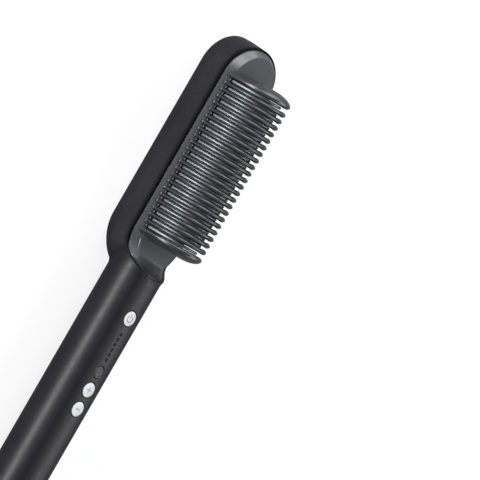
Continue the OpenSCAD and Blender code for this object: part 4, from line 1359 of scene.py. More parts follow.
    def head_row(self, i: int, paths: tuple[Points, Points, Points, Points]) -> Points:
        """One closed half section of the head.

        Args:
            i: Number of the section along the outlines.
            paths: Outlines of the front, the rim's inner edge, the inner wall and the seat.

        Returns:
            The section's points.
        """
        f = self.form
        front, lip_path, wall_path, seat = (p[i] for p in paths)
        lip = np.array([*lip_path, float(f.ramp(lip_path[1]))])
        step = np.array([*wall_path, float(f.ramp(wall_path[1])) - self.rebate])
        top = float(f.ramp(front[1]))
        if front[1] > f.y_neck:
            outside, inside = self.nose_curves(i, paths, top)
        else:
            outside, inside = self.neck_curves(front, step, seat, top)
        shell = self.spread(outside, self.bevel[0])
        corner = outside[-1]
        lining = self.along(inside, np.linspace(0, length(inside), self.inner_n))
        low = np.array([*seat, min(self.cover_z, lining[-1][2])])
        if lining[-1][0] > seat[0] + 0.01:
            low = lining[-1].copy()
        base = np.array([*seat, 0.0])
        return np.vstack([shell, self.rim(corner, shell[-1], lip, step), lining, low, base])

    def nose_curves(self, i: int, paths: tuple[Points, ...], top: float) -> tuple[Points, Points]:
        """Dense curves over the wall of the straight sides and the round top.

        Args:
            i: Number of the section along the outlines.
            paths: The outlines that head_row names.
            top: Height of the rim there.

        Returns:
            The outside and the inside.
        """
        f = self.form
        heading = self.heading(paths[0], i)

        def wall(z: Points, side: Points) -> Points:
            """The wall at heights z, drawn in there by side.

            Args:
                z: Heights.
                side: How far the wall is drawn in at each.

            Returns:
                The wall's points.
            """
            if heading is None:
                return np.column_stack([f.half_w - side, np.full(z.size, paths[3][i][1]), z])
            return np.column_stack([(f.half_w - side) * math.cos(heading),
                                    f.y_nose + (f.nose_l - side) * math.sin(heading), z])

        z = np.concatenate([[0.0, 0.0], f.back_edge * (1 - np.cos(np.linspace(0, np.pi / 2, self.edge_n))),
                            np.linspace(f.back_edge, top, self.dense // 2)[1:]])
        side = f.fall(z, f.back_edge) + f.draft * f.share(z)
        side[0] = self.seat_rim
        outside = wall(z, side)
        z = np.linspace(top - self.rebate, self.cover_z, self.wall_n)
        return outside, wall(z, f.draft * f.share(z) + f.wall)

    def heading(self, path: Points, i: int) -> float | None:
        """The turn of a section round the top, or None on the straight sides."""
        first = len(path) - self.form.nose_steps - 1
        return None if i < first else (i - first) / self.form.nose_steps * math.pi / 2

    def neck_curves(self, front: Points, step: Points, seat: Points, top: float) -> tuple[Points, Points]:
        """Dense curves over the lower end, where the wall runs into the handle.

        Args:
            front: Point of the front outline.
            step: Foot of the rebate.
            seat: Point of the seat's outline.
            top: Height of the rim there.

        Returns:
            The outside and the inside.
        """
        f = self.form
        down = math.atan2(-f.axis_z, max(seat[0], 1e-9))
        if front[0] < 1e-6:
            land_end = front[1] - self.step_back
            outside = self.curve(self.outer, (seat[1], land_end), (-math.pi / 2, math.pi / 2))
            outside[:, 0] = np.maximum(outside[:, 0], 0.0)
            rise = top - outside[-1][2]
            turn = np.linspace(0, np.pi / 2, self.fillet_n + 1)[1:]
            fillet = np.column_stack([np.zeros(self.fillet_n), land_end + self.step_back * np.sin(turn),
                                      outside[-1][2] + rise * self.fillet_share * (1 - np.cos(turn))])
            outside = np.vstack([outside, fillet, [0.0, front[1], top]])
        else:
            up = self.turn_at(self.outer, front[1], top, self.low_turn, math.pi / 2)
            outside = self.curve(self.outer, (seat[1], front[1]), (down, up))
            outside[:, 0] = np.minimum(outside[:, 0], f.half_w)
        start = math.atan2(step[2] - f.axis_z, max(step[0], 1e-9))
        stop = self.turn_at(self.inner, seat[1], self.cover_z, -math.pi / 2, 0.0)

        def wide(turn: float) -> float:
            """How far from the middle the inner wall is in that direction."""
            return self.reach(self.inner, seat[1], turn) * math.cos(turn)

        if wide(stop) > seat[0]:
            stop = halve(-math.pi / 2, stop, lambda turn: wide(turn) < seat[0])
        return outside, self.curve(self.inner, (step[1], seat[1]), (start, stop))

    def tube_row(self, y_low: float, y_high: float) -> Points:
        """One closed half section of the handle, from its back to its front and back inside.

        Args:
            y_low: Place of its back.
            y_high: Place of its front.

        Returns:
            The section's points.
        """
        f = self.form
        quarter = math.pi / 2
        shell = self.spread(self.curve(self.outer, (y_low, y_high), (-quarter, quarter)), self.bevel[0])
        lining = self.curve(self.inner, (y_high, y_low), (quarter, -quarter))
        lining = self.along(lining, np.linspace(0, length(lining), self.inner_n))
        n, m = self.rim_points, self.seat_points
        heights = np.linspace(f.land_z, lining[0][2], n + 2)[1:-1]
        through = np.column_stack([np.zeros(n), np.full(n, y_high), heights])
        heights = np.linspace(lining[-1][2], shell[0][2], m + 2)[1:-1]
        back = np.column_stack([np.zeros(m), np.full(m, y_low), heights])
        shell[0, 0] = lining[0, 0] = lining[-1, 0] = 0.0
        shell[-1] = [0.0, y_high, f.land_z]
        back[-1] = [0.0, y_low, shell[0][2]]
        return np.vstack([shell, through, lining, back])

    def rows(self) -> list[Points]:
        """All sections from the tail to the top.

        Returns:
            The sections, each with as many points.
        """
        f, even = self.form, self.y_even
        low_end = f.seat_path(0, 0)[0][1]
        count = int((even - f.y_cap) / self.handle_step)
        rows = [self.tube_row(y, y) for y in np.linspace(f.y_cap, even, count)]
        rows += [self.tube_row(even + (low_end - even) * share, even + (f.y_tip - even) * share)
                 for share in self.lean_shares]
        paths = (f.front_path(0, 0), f.front_path(self.rim_w, self.rim_w),
                 f.front_path(f.wall, f.wall), f.seat_path(0, 0))
        rows += [self.head_row(i, paths) for i in range(len(paths[0]))]
        rows[-1][:, 0] = 0.0
        chamfer = rows[0].copy()
        centre = np.array([0.0, f.y_cap, f.axis_z])
        for k in range(self.foot_n + self.mid_n + self.rim_n):
            arm = chamfer[k] - centre
            chamfer[k] -= arm / max(np.linalg.norm(arm), 1e-9) * self.tail_edge
        rows[0][:, 1] += self.tail_edge
        return [chamfer, *rows]

    def cutters(self) -> list[tuple[Points, Faces]]:
        """The holes of the keys and the indicators, each with a small chamfer at its mouth.

        Returns:
            Points and faces of each hole.
        """
        f = self.form
        forms: list[tuple[Points, Faces]] = []
        dots = [self.first_dot - k * self.dot_pitch for k in range(self.dots)]
        places = [(y, self.key_hole) for y in self.buttons] + [(self.lock_y, self.lock_hole)]
        places += [(y, self.dot_hole) for y in dots]
        for y, (d, depth, slant) in places:
            r, over = d / 2, self.cut_over
            low = f.land_c + f.axis_z + math.sqrt(f.land_r**2 - r * r) - depth
            profile = [(r, self.cut_z), (r, low), (r + slant * over, low + over)]
            points, faces = Mesh.lathe(profile, self.dot_steps if y in dots else self.key_steps)
            forms.append((points + np.array([0.0, y, 0.0]), faces))
        return forms

    def build(self) -> Thing:
        """Makes, drills and dresses the housing.

        Returns:
            The housing.
        """
        points, faces = Mesh.half_grid(self.rows(), cap_first=True)
        piece = place("housing", Mesh.make("housing", points, faces))
        carve(piece, *Mesh.gather(self.cutters()))
        Mesh.smooth(piece.data, self.crease)
        return self.book.finish(piece, Body.GRIP, "body", "body_shell")


@dataclass
class FrontBezel:
    """The slate bezel: a lip in the rim, a broad chamfer, and a raised face that ramps to the handle."""

    form: Form
    book: FinishBook
    lip: float = 1.15
    chamfer_side: float = 5.6
    chamfer_end: float = 3.6
    thick: float = 1.8
    skin: float = 0.7
    lip_depth: float = 2.0
    groove: float = 0.28
    groove_y: float = 30.0
    groove_run: float = 6.0
    lip_play: float = 0.15
    lip_soft: float = 0.04
    under_run: tuple[float, float] = (4.6, 2.6)
    belly: float = 0.06
    slope_shares: tuple[float, ...] = (0.08, 0.2, 0.35, 0.5, 0.65, 0.82, 0.935)
    groove_shares: tuple[float, float] = (0.1, 1.0)
    crest: tuple[Triple, ...] = ((-0.14, -0.12, -0.13), (-0.02, -0.02, -0.05), (0.12, 0.1, -0.01),
                                (0.3, 0.26, 0.0))
    window: tuple[float, float, float, float] = (17.5, 27.94, 128.1, 3.0)
    window_z: tuple[float, float] = (14.0, 26.0)
    middle_n: int = 6
    crease: float = 24.0

    def rows(self) -> list[Points]:
        """Sections from the tongue's tip to the round top.

        Returns:
            The sections, each with as many points.
        """
        f, lip, soft = self.form, self.lip, self.lip_soft
        side, end = self.chamfer_side, self.chamfer_end
        seat = lip - self.lip_play + self.thick
        under = [(seat + self.under_run[0], seat + self.under_run[1], 1.0, -self.thick),
                 (seat, seat, 0.0, -self.skin), (seat, seat, 0.0, -self.lip_depth),
                 (lip, lip, 0.0, -self.lip_depth), (lip, lip, 0.0, -2 * soft),
                 (lip + soft, lip + soft, 0.0, soft)]
        slope = [(lip + (side - lip) * t, lip + (end - lip) * t, t, self.belly * (1 - t))
                 for t in self.slope_shares]
        crest = [(side + run, end + over, 1.0, lift) for run, over, lift in self.crest]
        groove = dict(zip(slope[-2:], self.groove_shares))
        columns = []
        for station in under + slope + crest:
            side, end, share, lift = station
            path = f.front_path(side, end)
            near = np.clip((self.groove_y - path[:, 1]) / self.groove_run, 0, 1)
            z = f.ramp(path[:, 1]) + share * f.rise(path[:, 1]) + lift
            columns.append(np.column_stack([path, z - groove.get(station, 0.0) * self.groove * near]))
        return Mesh.draw_in(columns, self.middle_n)

    def build(self) -> Thing:
        """Makes, cuts and dresses the bezel.

        Returns:
            The bezel.
        """
        points, faces = Mesh.half_grid(self.rows())
        piece = place("slate_bezel", Mesh.make("slate_bezel", points, faces))
        carve(piece, *Mesh.slab(Mesh.round_box(*self.window), *self.window_z))
        Mesh.smooth(piece.data, self.crease)
        return self.book.finish(piece, Body.GRIP, "bezel", "front_bezel")


@dataclass
class Fin:
    """A domed plate across the comb, made of outlines stacked through its thickness."""

    half_w: float
    foot: float
    top: float
    power: float = 2.3
    steps: int = 30
    neck_z: float = 22.7
    neck_run: float = 1.25
    shoulder_z: float = 40.4
    shoulder_run: float = 3.3

    def outline(self, inset: float) -> Points:
        """The dome drawn in by an amount, from its right foot to its left.

        Args:
            inset: The amount.

        Returns:
            Rows of x and z.
        """
        turn = np.linspace(0, np.pi, self.steps + 1)
        c, s = np.cos(turn), np.sin(turn)
        x = (self.half_w - inset) * np.sign(c) * np.abs(c) ** (2 / self.power)
        z = self.foot + (self.top - inset - self.foot) * np.abs(s) ** (2 / self.power)
        return np.column_stack([x, z])

    def thickness(self, z: Points, swell: float, neck: float) -> Points:
        """Share of the plate's thickness at a height: a neck over the foot and thick shoulders.

        Args:
            z: The height.
            swell: Share by which the shoulders are thicker.
            neck: Share by which the neck is slimmer.

        Returns:
            The share.
        """
        shoulder = np.exp(-(((z - self.shoulder_z) / self.shoulder_run) ** 2))
        slim = np.exp(-(((z - self.neck_z) / self.neck_run) ** 2))
        return 1 + swell * shoulder - neck * slim

    def solid(self, y: float, layers: Layers, swell: float = 0.0, neck: float = 0.0) -> tuple[Points, Faces]:
        """The plate at a place along the comb.

        Args:
            y: Place of its middle.
            layers: Distance from the middle, how far the outline is drawn in there, and the
                share of the swelling that the layer takes.
            swell: Share by which the shoulders are thicker.
            neck: Share by which the neck is slimmer.

        Returns:
            Points and faces.
        """
        rings = []
        for depth, inset, share in layers:
            line = self.outline(inset)
            grow = self.thickness(line[:, 1], swell * share, neck)
            rings.append(np.column_stack([line[:, 0], y + depth * grow, line[:, 1]]))
        n = len(rings[0])
        faces: Faces = []
        for i in range(len(rings) - 1):
            for j in range(n):
                k = (j + 1) % n
                faces.append((i * n + j, i * n + k, (i + 1) * n + k, (i + 1) * n + j))
        for start in (0, (len(rings) - 1) * n):
            for j in range(n // 2):
                k = n - 1 - j
                corners = (start + j, start + j + 1, start + k - 1, start + k)
                faces.append(corners[:3] if k - j == 2 else corners)
                if k - j == 2:
                    break
        return np.vstack(rings), faces


@dataclass
class GuardComb:
    """The dark guard fins, two of them swollen at the ends, on their slotted plate.

    A fin is rounded over edge_l from its outline in, up to half_t from its middle, and eases back
    to web. An end guard's outer side bulges by bulge over reach, its inner side is thicker by
    end_share, and both have a cove at cove_z. A bead is a fin's round foot, and a stud closes a
    slot's end.
    """

    form: Form
    book: FinishBook
    count: int = 22
    pitch: float = 3.96
    first_y: float = 119.6
    end_gap: float = 4.8
    half_w: float = 19.4
    foot: float = 17.0
    top: float = 45.5
    half_t: float = 1.05
    edge_l: float = 2.3
    web: float = 0.85
    web_inset: float = 3.0
    swell: float = 0.46
    neck: float = 0.3
    end_share: float = 1.45
    cove: float = 0.45
    cove_z: float = 27.0
    cove_run: float = 5.6
    bulge: float = 4.4
    reach: float = 12.0
    bead_r: float = 1.28
    bead_x: float = 18.15
    bead_z: float = 19.15
    hot_half: float = 16.45
    slot_t: float = 1.8
    slot_z: tuple[float, float] = (15.0, 22.0)
    plate_box: tuple[float, float, float, float] = (17.35, 28.09, 127.95, 2.85)
    plate_z: tuple[float, float] = (17.6, 20.4)
    tongue_half: float = 3.0
    tongue_rows: tuple[tuple[float, float], ...] = ((24.94, 31.0), (125.0, 131.1))
    tongue_z: tuple[float, float] = (17.0, 18.6)
    stud_r: float = 0.86
    stud_x: float = 17.1
    stud_z: float = 20.35
    edge_turns: tuple[int, ...] = (10, 24, 38, 52, 68, 90)
    bulge_turns: tuple[int, ...] = (6, 14, 24, 34, 44, 54, 63, 71, 79, 86, 90)
    ball_turns: tuple[int, ...] = (-84, -60, -36, -12, 12, 36, 60, 84)
    ball_steps: int = 14
    bead_stretch: Triple = (1.05, 0.92, 1.25)
    stud_stretch: Triple = (0.8, 1.0, 0.9)
    end_steps: int = 44
    crease: float = 50.0

    def edge_layers(self) -> Layers:
        """One side's layers: a long elliptic edge that eases back into the thinner web.

        Returns:
            Depth, inset and share of the swelling of each layer.
        """
        turn = [math.radians(a) for a in self.edge_turns]
        ring = [(self.half_t * math.sin(t), self.edge_l * (1 - math.cos(t)), 1.0) for t in turn]
        ring[-1] = (self.half_t, self.edge_l * 0.97, 0.75)
        return ring + [(self.web + 0.05, self.web_inset, 0.0), (self.web, self.web_inset + 0.6, 0.0)]

    def inner_layers(self) -> Layers:
        """The comb's side of an end guard, which is thicker than a normal guard's."""
        return [(d * self.end_share, inset, share) for d, inset, share in self.edge_layers()]

    def bulge_layers(self) -> Layers:
        """The outer half of an end guard, a quarter of an ellipse."""
        turn = [math.radians(a) for a in self.bulge_turns]
        return [(self.bulge * math.sin(t), self.reach * (1 - math.cos(t)), 0.0) for t in turn]

    @staticmethod
    def stack(upper: Layers, lower: Layers) -> Layers:
        """Two sides' layers as one stack from +Y to -Y."""
        return list(reversed(upper)) + [(0.0, 0.0, 0.0)] + [(-d, i, share) for d, i, share in lower]

    def ball(self, r: float, centre: Triple, stretch: Triple) -> tuple[Points, Faces]:
        """A stretched ball round a centre.

        Args:
            r: Radius before the stretch.
            centre: Its centre.
            stretch: Factor on each axis.

        Returns:
            Points and faces.
        """
        rings = [(r * math.cos(t), r * math.sin(t)) for t in map(math.radians, self.ball_turns)]
        points, faces = Mesh.lathe(rings, self.ball_steps)
        return points * np.array(stretch) + np.array(centre), faces

    def bead(self, y: float, side: int) -> tuple[Points, Faces]:
        """The round foot of a guard fin on the bezel's chamfer."""
        return self.ball(self.bead_r, (side * self.bead_x, y, self.bead_z), self.bead_stretch)

    def studs(self, rows: list[float]) -> list[tuple[Points, Faces]]:
        """The small round studs that close the ends of the heated fins' slots."""
        return [self.ball(self.stud_r, (side * self.stud_x, y, self.stud_z), self.stud_stretch)
                for y in rows for side in (1, -1)]

    def fins(self) -> Thing:
        """The row of normal guard fins, with their round feet.

        Returns:
            The row as one object.
        """
        fin = Fin(self.half_w, self.foot, self.top)
        last = self.first_y - (self.count - 1) * self.pitch
        side = self.edge_layers()
        parts = [fin.solid(last, self.stack(side, side), self.swell, self.neck)]
        parts += [self.bead(last, s) for s in (1, -1)]
        points, faces = Mesh.gather(parts)
        first = place("guard_row", Mesh.make("guard_row", points, faces, FINE_MERGE))
        return Row("guard_fins", self.count, self.pitch).repeat(first, self.book.made["guards"])

    def plate(self) -> tuple[Points, Faces]:
        """The plate under the fins, between the slots of the heated fins."""
        return Mesh.slab(Mesh.round_box(*self.plate_box), *self.plate_z)

    def hot_rows(self) -> list[float]:
        """Places of the heated fins, each halfway between two guards.

        Returns:
            The places, from the top down.
        """
        first, gap, pitch = self.first_y, self.end_gap, self.pitch
        low = first - (self.count - 1) * pitch - gap
        rows = [first + gap / 2] + [first - (i + 0.5) * pitch for i in range(self.count - 1)]
        return rows + [low + gap / 2]

    def slots(self) -> tuple[Points, Faces]:
        """The slots of the heated fins.

        Returns:
            Points and faces of all the slots.
        """
        half = self.slot_t / 2
        return Mesh.gather([Mesh.slab(Mesh.rectangle(self.hot_half, y - half, y + half), *self.slot_z)
                            for y in self.hot_rows()])

    def build(self) -> Thing:
        """Makes and dresses the guard comb.

        Returns:
            The guard comb.
        """
        fin = Fin(self.half_w, self.foot, self.top, steps=self.end_steps, neck_z=self.cove_z,
                  neck_run=self.cove_run)
        side, out = self.inner_layers(), self.bulge_layers()
        high = self.first_y + self.end_gap
        low = self.first_y - (self.count - 1) * self.pitch - self.end_gap
        plate = place("guard_plate", Mesh.make("guard_plate", *self.plate()))
        carve(plate, *self.slots())
        tongues = [Mesh.slab(Mesh.rectangle(self.tongue_half, *row), *self.tongue_z)
                   for row in self.tongue_rows]
        ends, faces = Mesh.gather([fin.solid(high, self.stack(out, side), neck=self.cove),
                                   fin.solid(low, self.stack(side, out), neck=self.cove),
                                   *[self.bead(y, s) for y in (high, low) for s in (1, -1)],
                                   *tongues, *self.studs(self.hot_rows())])
        end_piece = place("end_guards", Mesh.make("end_guards", ends, faces, FINE_MERGE))
        piece = unite(self.fins(), [end_piece, plate], "guard_fins")
        Mesh.smooth(piece.data, self.crease)
        return self.book.finish(piece, Body.GRIP, "guards", "guard_comb")


@dataclass
class HeatedComb:
    """The coated metal fins between the guards, on their common base."""

    form: Form
    book: FinishBook
    guards: GuardComb
    half_w: float = 16.2
    foot: float = 15.9
    top: float = 41.3
    half_t: float = 0.75
    corner_r: float = 0.34
    base: tuple[float, float, float, float] = (17.0, 31.44, 124.6, 0.6)
    base_z: tuple[float, float] = (13.9, 16.9)
    edge_turns: tuple[int, ...] = (18, 38, 62, 90)
    edge_drop: tuple[float, float] = (0.03, 0.1)
    fin_steps: int = 28
    crease: float = 50.0

    def layers(self) -> Layers:
        """A thin plate's layers: a broad, lightly crowned edge with round corners.

        Returns:
            Depth, inset and share of the swelling of each layer.
        """
        r, (crown, drop) = self.corner_r, self.edge_drop
        turn = [math.radians(a) for a in self.edge_turns]
        ring = [(self.half_t - r + r * math.sin(t), drop + r * (1 - math.cos(t)), 0.0) for t in turn]
        ring = [(0.5 * (self.half_t - r), crown, 0.0)] + ring
        return GuardComb.stack(ring, ring)

    def build(self) -> Thing:
        """Makes and dresses the heated comb.

        Returns:
            The heated comb.
        """
        g = self.guards
        places = g.hot_rows()
        fin = Fin(self.half_w, self.foot, self.top, steps=self.fin_steps)
        first = place("hot_row", Mesh.make("hot_row", *fin.solid(places[-2], self.layers()), FINE_MERGE))
        row = Row("heated_fins", g.count - 1, g.pitch).repeat(first, self.book.made["hot_fins"])
        parts = [fin.solid(places[0], self.layers()), fin.solid(places[-1], self.layers()),
                 Mesh.slab(Mesh.round_box(*self.base), *self.base_z)]
        rest = place("hot_rest", Mesh.make("hot_rest", *Mesh.gather(parts), FINE_MERGE))
        unite(row, [rest], "heated_fins")
        Mesh.smooth(row.data, self.crease)
        return self.book.finish(row, Body.GRIP, "hot_fins", "heater_comb")


@dataclass
class BackPlate:
    """What closes the back: the tinted ring and the crowned gloss panel inside it."""

    form: Form
    book: FinishBook
    gap: float = 0.15
    ring_w: float = 3.1
    ring_end_w: float = 4.3
    ring_t: float = 1.7
    ring_face: tuple[tuple[float, float], ...] = (
        (0.0, 0.36), (0.03, 0.22), (0.1, 0.1), (0.22, 0.03), (0.36, 0.0), (1.0, 0.0), (1.4, 0.02),
        (1.9, 0.13), (2.4, 0.34), (2.8, 0.58), (3.0, 0.72), (3.1, 0.86))
    crown: float = 0.7
    crown_fall: float = 1.2
    panel_z: float = 0.35
    panel_lip: float = 1.08
    panel_insets: tuple[float, ...] = (9.0, 6.0, 4.0, 2.8, 1.9, 1.2, 0.7, 0.35, 0.12)
    middle_n: int = 5
    crease: float = 40.0

    def ring(self) -> Thing:
        """The ring: round outer edge, a crest, and a gentle fall to the panel.

        Returns:
            The ring.
        """
        g, w, e = self.gap, self.ring_w, self.ring_end_w
        columns = []
        for inset, z in [(0.0, self.ring_t), *self.ring_face, (w, self.ring_t)]:
            share = inset / w
            path = self.form.seat_path(g + inset, g + inset + (e - w) * share)
            columns.append(np.column_stack([path, np.full(len(path), z)]))
        columns.append(columns[0])
        points, faces = Mesh.half_grid(list(np.stack(columns, axis=1)))
        piece = place("tinted_ring", Mesh.make("tinted_ring", points, faces))
        Mesh.smooth(piece.data, self.crease)
        return self.book.finish(piece, Body.GRIP, "ring", "rear_ring")

    def panel(self) -> Thing:
        """The panel, flat in its middle and rolled off toward its edge.

        Returns:
            The panel.
        """
        side, end = 2 * self.gap + self.ring_w, 2 * self.gap + self.ring_end_w
        columns = []
        for inset in self.panel_insets:
            path = self.form.seat_path(side + inset, end + inset)
            z = self.panel_z + self.crown * math.exp(-inset / self.crown_fall)
            columns.append(np.column_stack([path, np.full(len(path), z)]))
        edge = self.form.seat_path(side, end)
        columns += [np.column_stack([edge, np.full(len(edge), z)]) for z in (self.panel_lip, self.ring_t)]
        points, faces = Mesh.half_grid(Mesh.draw_in(columns, self.middle_n))
        piece = place("gloss_panel", Mesh.make("gloss_panel", points, faces))
        Mesh.smooth(piece.data, self.crease)
        return self.book.finish(piece, Body.GRIP, "panel", "rear_panel")


@dataclass
class Carried:
    """A CAD node that keeps its shape, as a merged copy with smooth shading."""

    book: FinishBook
    node: str
    body: Body
    slot: str
    merge: float = 0.002
    crease: float = 30.0

    def build(self, frame: dict) -> Thing:
        """Copies, merges and dresses the node.


        Returns:
            The new piece.
        """
        mesh = frame["nodes"][self.node].data.copy()
        work = bmesh.new()
        work.from_mesh(mesh)
        bmesh.ops.remove_doubles(work, verts=work.verts, dist=self.merge * MM)
        bmesh.ops.dissolve_degenerate(work, edges=work.edges, dist=self.merge / 2 * MM)
        work.to_mesh(mesh)
        work.free()
        normals = mesh.attributes.get("custom_normal")
        if normals:
            mesh.attributes.remove(normals)
        piece = place(f"{self.node}_finished", mesh)
        Mesh.smooth(mesh, self.crease)
        return self.book.finish(piece, self.body, self.slot, self.node)


@dataclass
class KeyMarks:
    """The thin printed signs on the three pale keys."""

    book: FinishBook
    top: float = 28.25
    root: float = 0.05
    thick: float = 0.02
    line: float = 0.7
    arm: float = 1.75
    arc_r: float = 1.95
    gap_turn: float = 70.0
    arc_n: int = 30
    bar_y: tuple[float, float] = (0.2, 2.5)
    seam: float = 0.001

    def strip(self, points: list[tuple[float, float]]) -> tuple[Points, Faces]:
        """A flat line of even width along a path.

        Args:
            points: The path.

        Returns:
            Points and faces.
        """
        half = self.line / 2
        path = np.array(points)
        step = np.gradient(path, axis=0)
        normal = np.column_stack([-step[:, 1], step[:, 0]])
        normal /= np.linalg.norm(normal, axis=1)[:, None]
        left, right = path + normal * half, path - normal * half
        return Mesh.slab(np.vstack([left, right[::-1]]), self.top - self.root, self.top + self.thick)

    def sign(self, name: str, body: Body, y: float, parts: list[tuple[Points, Faces]]) -> Thing:
        """One sign on its key.

        Args:
            name: Its name.
            body: The key's body.
            y: Place of the key.
            parts: The sign's lines.

        Returns:
            The sign.
        """
        points, faces = Mesh.gather(parts)
        piece = place(name, Mesh.make(name, points + np.array([0.0, y, 0.0]), faces, FINE_MERGE))
        return self.book.finish(piece, body, "pale_button", paint="marks")

    def build(self, rows: tuple[float, float, float]) -> list[Thing]:
        """Makes the power, plus and minus signs.

        Args:
            rows: Places of the three pale keys.

        Returns:
            The signs.
        """
        gap = math.radians(self.gap_turn / 2)
        turn = np.linspace(gap, 2 * np.pi - gap, self.arc_n)
        arc = [(-self.arc_r * math.sin(t), self.arc_r * math.cos(t)) for t in turn]
        bar = [(0.0, y) for y in self.bar_y]
        across = [(-self.arm, 0.0), (self.arm, 0.0)]
        lower = [(0.0, -self.arm), (0.0, -self.line / 2 - self.seam)]
        upper = [(0.0, self.line / 2 + self.seam), (0.0, self.arm)]
        signs = (("power_sign", Body.POWER, (arc, bar)), ("plus_sign", Body.PLUS, (across, lower, upper)),
                 ("minus_sign", Body.MINUS, (across,)))
        return [self.sign(name, body, y, [self.strip(line) for line in lines])
                for (name, body, lines), y in zip(signs, rows)]


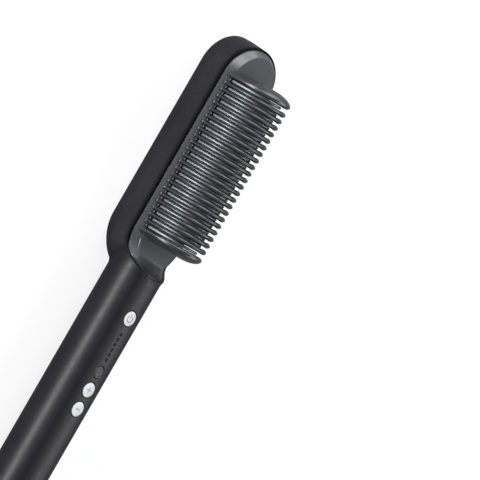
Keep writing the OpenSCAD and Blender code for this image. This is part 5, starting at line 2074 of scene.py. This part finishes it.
@dataclass
class Studio:
    """The floor, two long soft lamps, three short ones, the room's light and the camera.

    Lengths here are metres, but for the floor's and the sensor's, which are millimetres. A lamp's
    panels are given by their lower and upper elevation in degrees, and their radiance.
    """

    centre: Triple = (0.0252, 0.0518, 0.0452)
    elevation: float = 40.0
    roll: float = 120.0
    distance: float = 6.0
    frame_w: float = 0.252
    room: float = 0.22
    room_colour: Colour = (0.9, 0.94, 1.0)
    floor_colour: Colour = (0.9, 0.9, 0.9)
    floor_glow: tuple[float, float] = (0.84, 0.76)
    floor_dim: float = 0.09
    lamp_distance: float = 1.1
    side_length: float = 2.6
    end_length: float = 1.0
    lamp_centre: Triple = (0.0, 0.03, 0.015)
    low_turn: float = 180.0
    low_panels: Panels = ((0.2, 6.0, 30.0), (6.0, 12.0, 6.0), (12.0, 17.0, 1.5))
    high_turn: float = 0.0
    high_panels: Panels = ((29.0, 35.0, 1.6), (35.0, 44.0, 4.8), (44.0, 51.0, 2.6))
    end_panels: Panels = ((27.0, 53.0, 5.0),)
    end_turn: float = 102.0
    tip_panels: Panels = ((5.0, 25.0, 3.5),)
    tip_turn: float = 74.0
    tip_length: float = 0.7
    edge_panels: Panels = ((2.0, 16.0, 6.0),)
    edge_turn: float = 134.0
    edge_length: float = 0.45
    sensor_w: float = 36.0
    clip_end: float = 100.0
    floor_half: float = 4000.0
    floor_z: float = -0.1

    def lamp(self, name: str, turn: float, span: float, panels: Panels) -> None:
        """A soft lamp round the part, made of flat panels one above the other.

        Args:
            name: Its name.
            turn: Direction in which it stands, in degrees from +X toward +Y.
            span: Its level length in metres.
            panels: Lower and upper elevation in degrees and the radiance of each panel.
        """
        facing = math.radians(turn)
        along = Vector((-math.sin(facing), math.cos(facing), 0.0))
        for k, (low, high, radiance) in enumerate(panels):
            mid, half = math.radians((low + high) / 2), math.radians((high - low) / 2)
            width = 2 * self.lamp_distance * math.tan(half)
            data = bpy.data.lights.new(f"{name}_{k}", "AREA")
            data.shape = "RECTANGLE"
            data.size, data.size_y = width, span
            data.energy = 4 * radiance * width * span
            lamp = bpy.data.objects.new(f"{name}_{k}", data)
            bpy.context.scene.collection.objects.link(lamp)
            away = Vector((math.cos(mid) * math.cos(facing), math.cos(mid) * math.sin(facing), math.sin(mid)))
            lamp.matrix_world = Matrix((along.cross(away), along, away)).transposed().to_4x4()
            lamp.location = Vector(self.lamp_centre) + away * self.lamp_distance
            lamp.visible_camera = False

    def world(self) -> None:
        """A dim even room with a trace of blue."""
        world = bpy.data.worlds.new("room")
        bpy.context.scene.world = world
        world.use_nodes = True
        background = world.node_tree.nodes["Background"]
        background.inputs["Color"].default_value = (*self.room_colour, 1.0)
        background.inputs["Strength"].default_value = self.room

    def floor(self) -> None:
        """A wide pale floor that keeps the soft shadow.

        The camera sees it as white, and polished pieces mirror a dimmer one.
        """
        half, z = self.floor_half, self.floor_z
        points = np.array([[-half, -half, z], [half, -half, z], [half, half, z], [-half, half, z]])
        mesh = bpy.data.meshes.new("floor")
        mesh.from_pydata((points * MM).tolist(), [], [(0, 1, 2, 3)])
        floor = place("floor", mesh)
        r = Recipe("pale_floor")
        r.set(Base_Color=r.drift(r.noise(r.grid(), 0.01), self.floor_colour, 0.99, 1.0))
        r.set(Roughness=0.9, Specular_IOR_Level=0.1)
        path = r.add("ShaderNodeLightPath")
        seen = path.outputs["Is Camera Ray"]
        glow = r.add("ShaderNodeEmission", {"Color": (1.0, 1.0, 1.0, 1.0),
                                            "Strength": r.remap(seen, 0.0, 1.0, self.floor_dim, 1.0)})
        direct, mirrored = self.floor_glow
        other = r.plus(path.outputs["Is Glossy Ray"], path.outputs["Is Transmission Ray"])
        share = r.plus(r.remap(seen, 0.0, 1.0, 0.0, direct), r.remap(other, 0.0, 1.0, 0.0, mirrored))
        plain, bright = r.shader.outputs["BSDF"], glow.outputs["Emission"]
        mix = r.add("ShaderNodeMixShader", {0: share, 1: plain, 2: bright})
        r.fill(r.out, {"Surface": mix.outputs["Shader"]})
        floor.data.materials.append(r.material)
        floor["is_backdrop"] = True

    def camera(self) -> None:
        """A long lens that looks across the comb and down its left side."""
        lift, roll = math.radians(self.elevation), math.radians(self.roll)
        back = Vector((-math.cos(lift), 0.0, math.sin(lift)))
        side, up = Vector((0.0, -1.0, 0.0)), Vector((math.sin(lift), 0.0, math.cos(lift)))
        right = side * math.cos(roll) + up * math.sin(roll)
        above = up * math.cos(roll) - side * math.sin(roll)
        data = bpy.data.cameras.new("camera")
        data.lens = self.sensor_w * self.distance / self.frame_w
        data.clip_end = self.clip_end
        camera = bpy.data.objects.new("camera", data)
        bpy.context.scene.collection.objects.link(camera)
        camera.matrix_world = Matrix((right, above, back)).transposed().to_4x4()
        camera.location = Vector(self.centre) + back * self.distance
        bpy.context.scene.camera = camera

    def build(self) -> None:
        """Sets the whole studio."""
        self.camera()
        self.world()
        self.floor()
        self.lamp("low_lamp", self.low_turn, self.side_length, self.low_panels)
        self.lamp("high_lamp", self.high_turn, self.side_length, self.high_panels)
        self.lamp("end_lamp", self.end_turn, self.end_length, self.end_panels)
        self.lamp("tip_lamp", self.tip_turn, self.tip_length, self.tip_panels)
        self.lamp("edge_lamp", self.edge_turn, self.edge_length, self.edge_panels)
        bpy.context.scene.view_settings.view_transform = "Standard"


def corners() -> list[list[float]]:
    """The shown model's lowest and highest corner as plain lists."""
    return [[float(v) for v in corner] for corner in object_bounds()]


def main() -> None:
    """Builds the pieces in order and reports each."""
    logging.basicConfig(level=logging.INFO, format="%(message)s")
    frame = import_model()
    form = Form()
    Studio().build()
    book = FinishBook()
    book.write()
    shell = BodyShell(form, book)
    guards = GuardComb(form, book)
    plate = BackPlate(form, book)
    pieces = [shell.build(), FrontBezel(form, book).build(), guards.build(),
              HeatedComb(form, book, guards).build(), plate.ring(), plate.panel()]
    pieces += KeyMarks(book).build(shell.buttons)
    kept = (("power_button", Body.POWER, "pale_button"), ("plus_button", Body.PLUS, "pale_button"),
            ("minus_button", Body.MINUS, "pale_button"), ("lock_button", Body.LOCK, "lock_button"),
            ("tail_cap", Body.GRIP, "tail_cap"), ("cord_swivel", Body.SWIVEL, "swivel"))
    pieces += [Carried(book, node, body, slot).build(frame) for node, body, slot in kept]
    for node in frame["nodes"].values():
        book.dress_node(node)
    for piece in pieces:
        LOG.info("%s: %d faces", piece.name, len(piece.data.polygons))


if __name__ == "__main__":
    main()
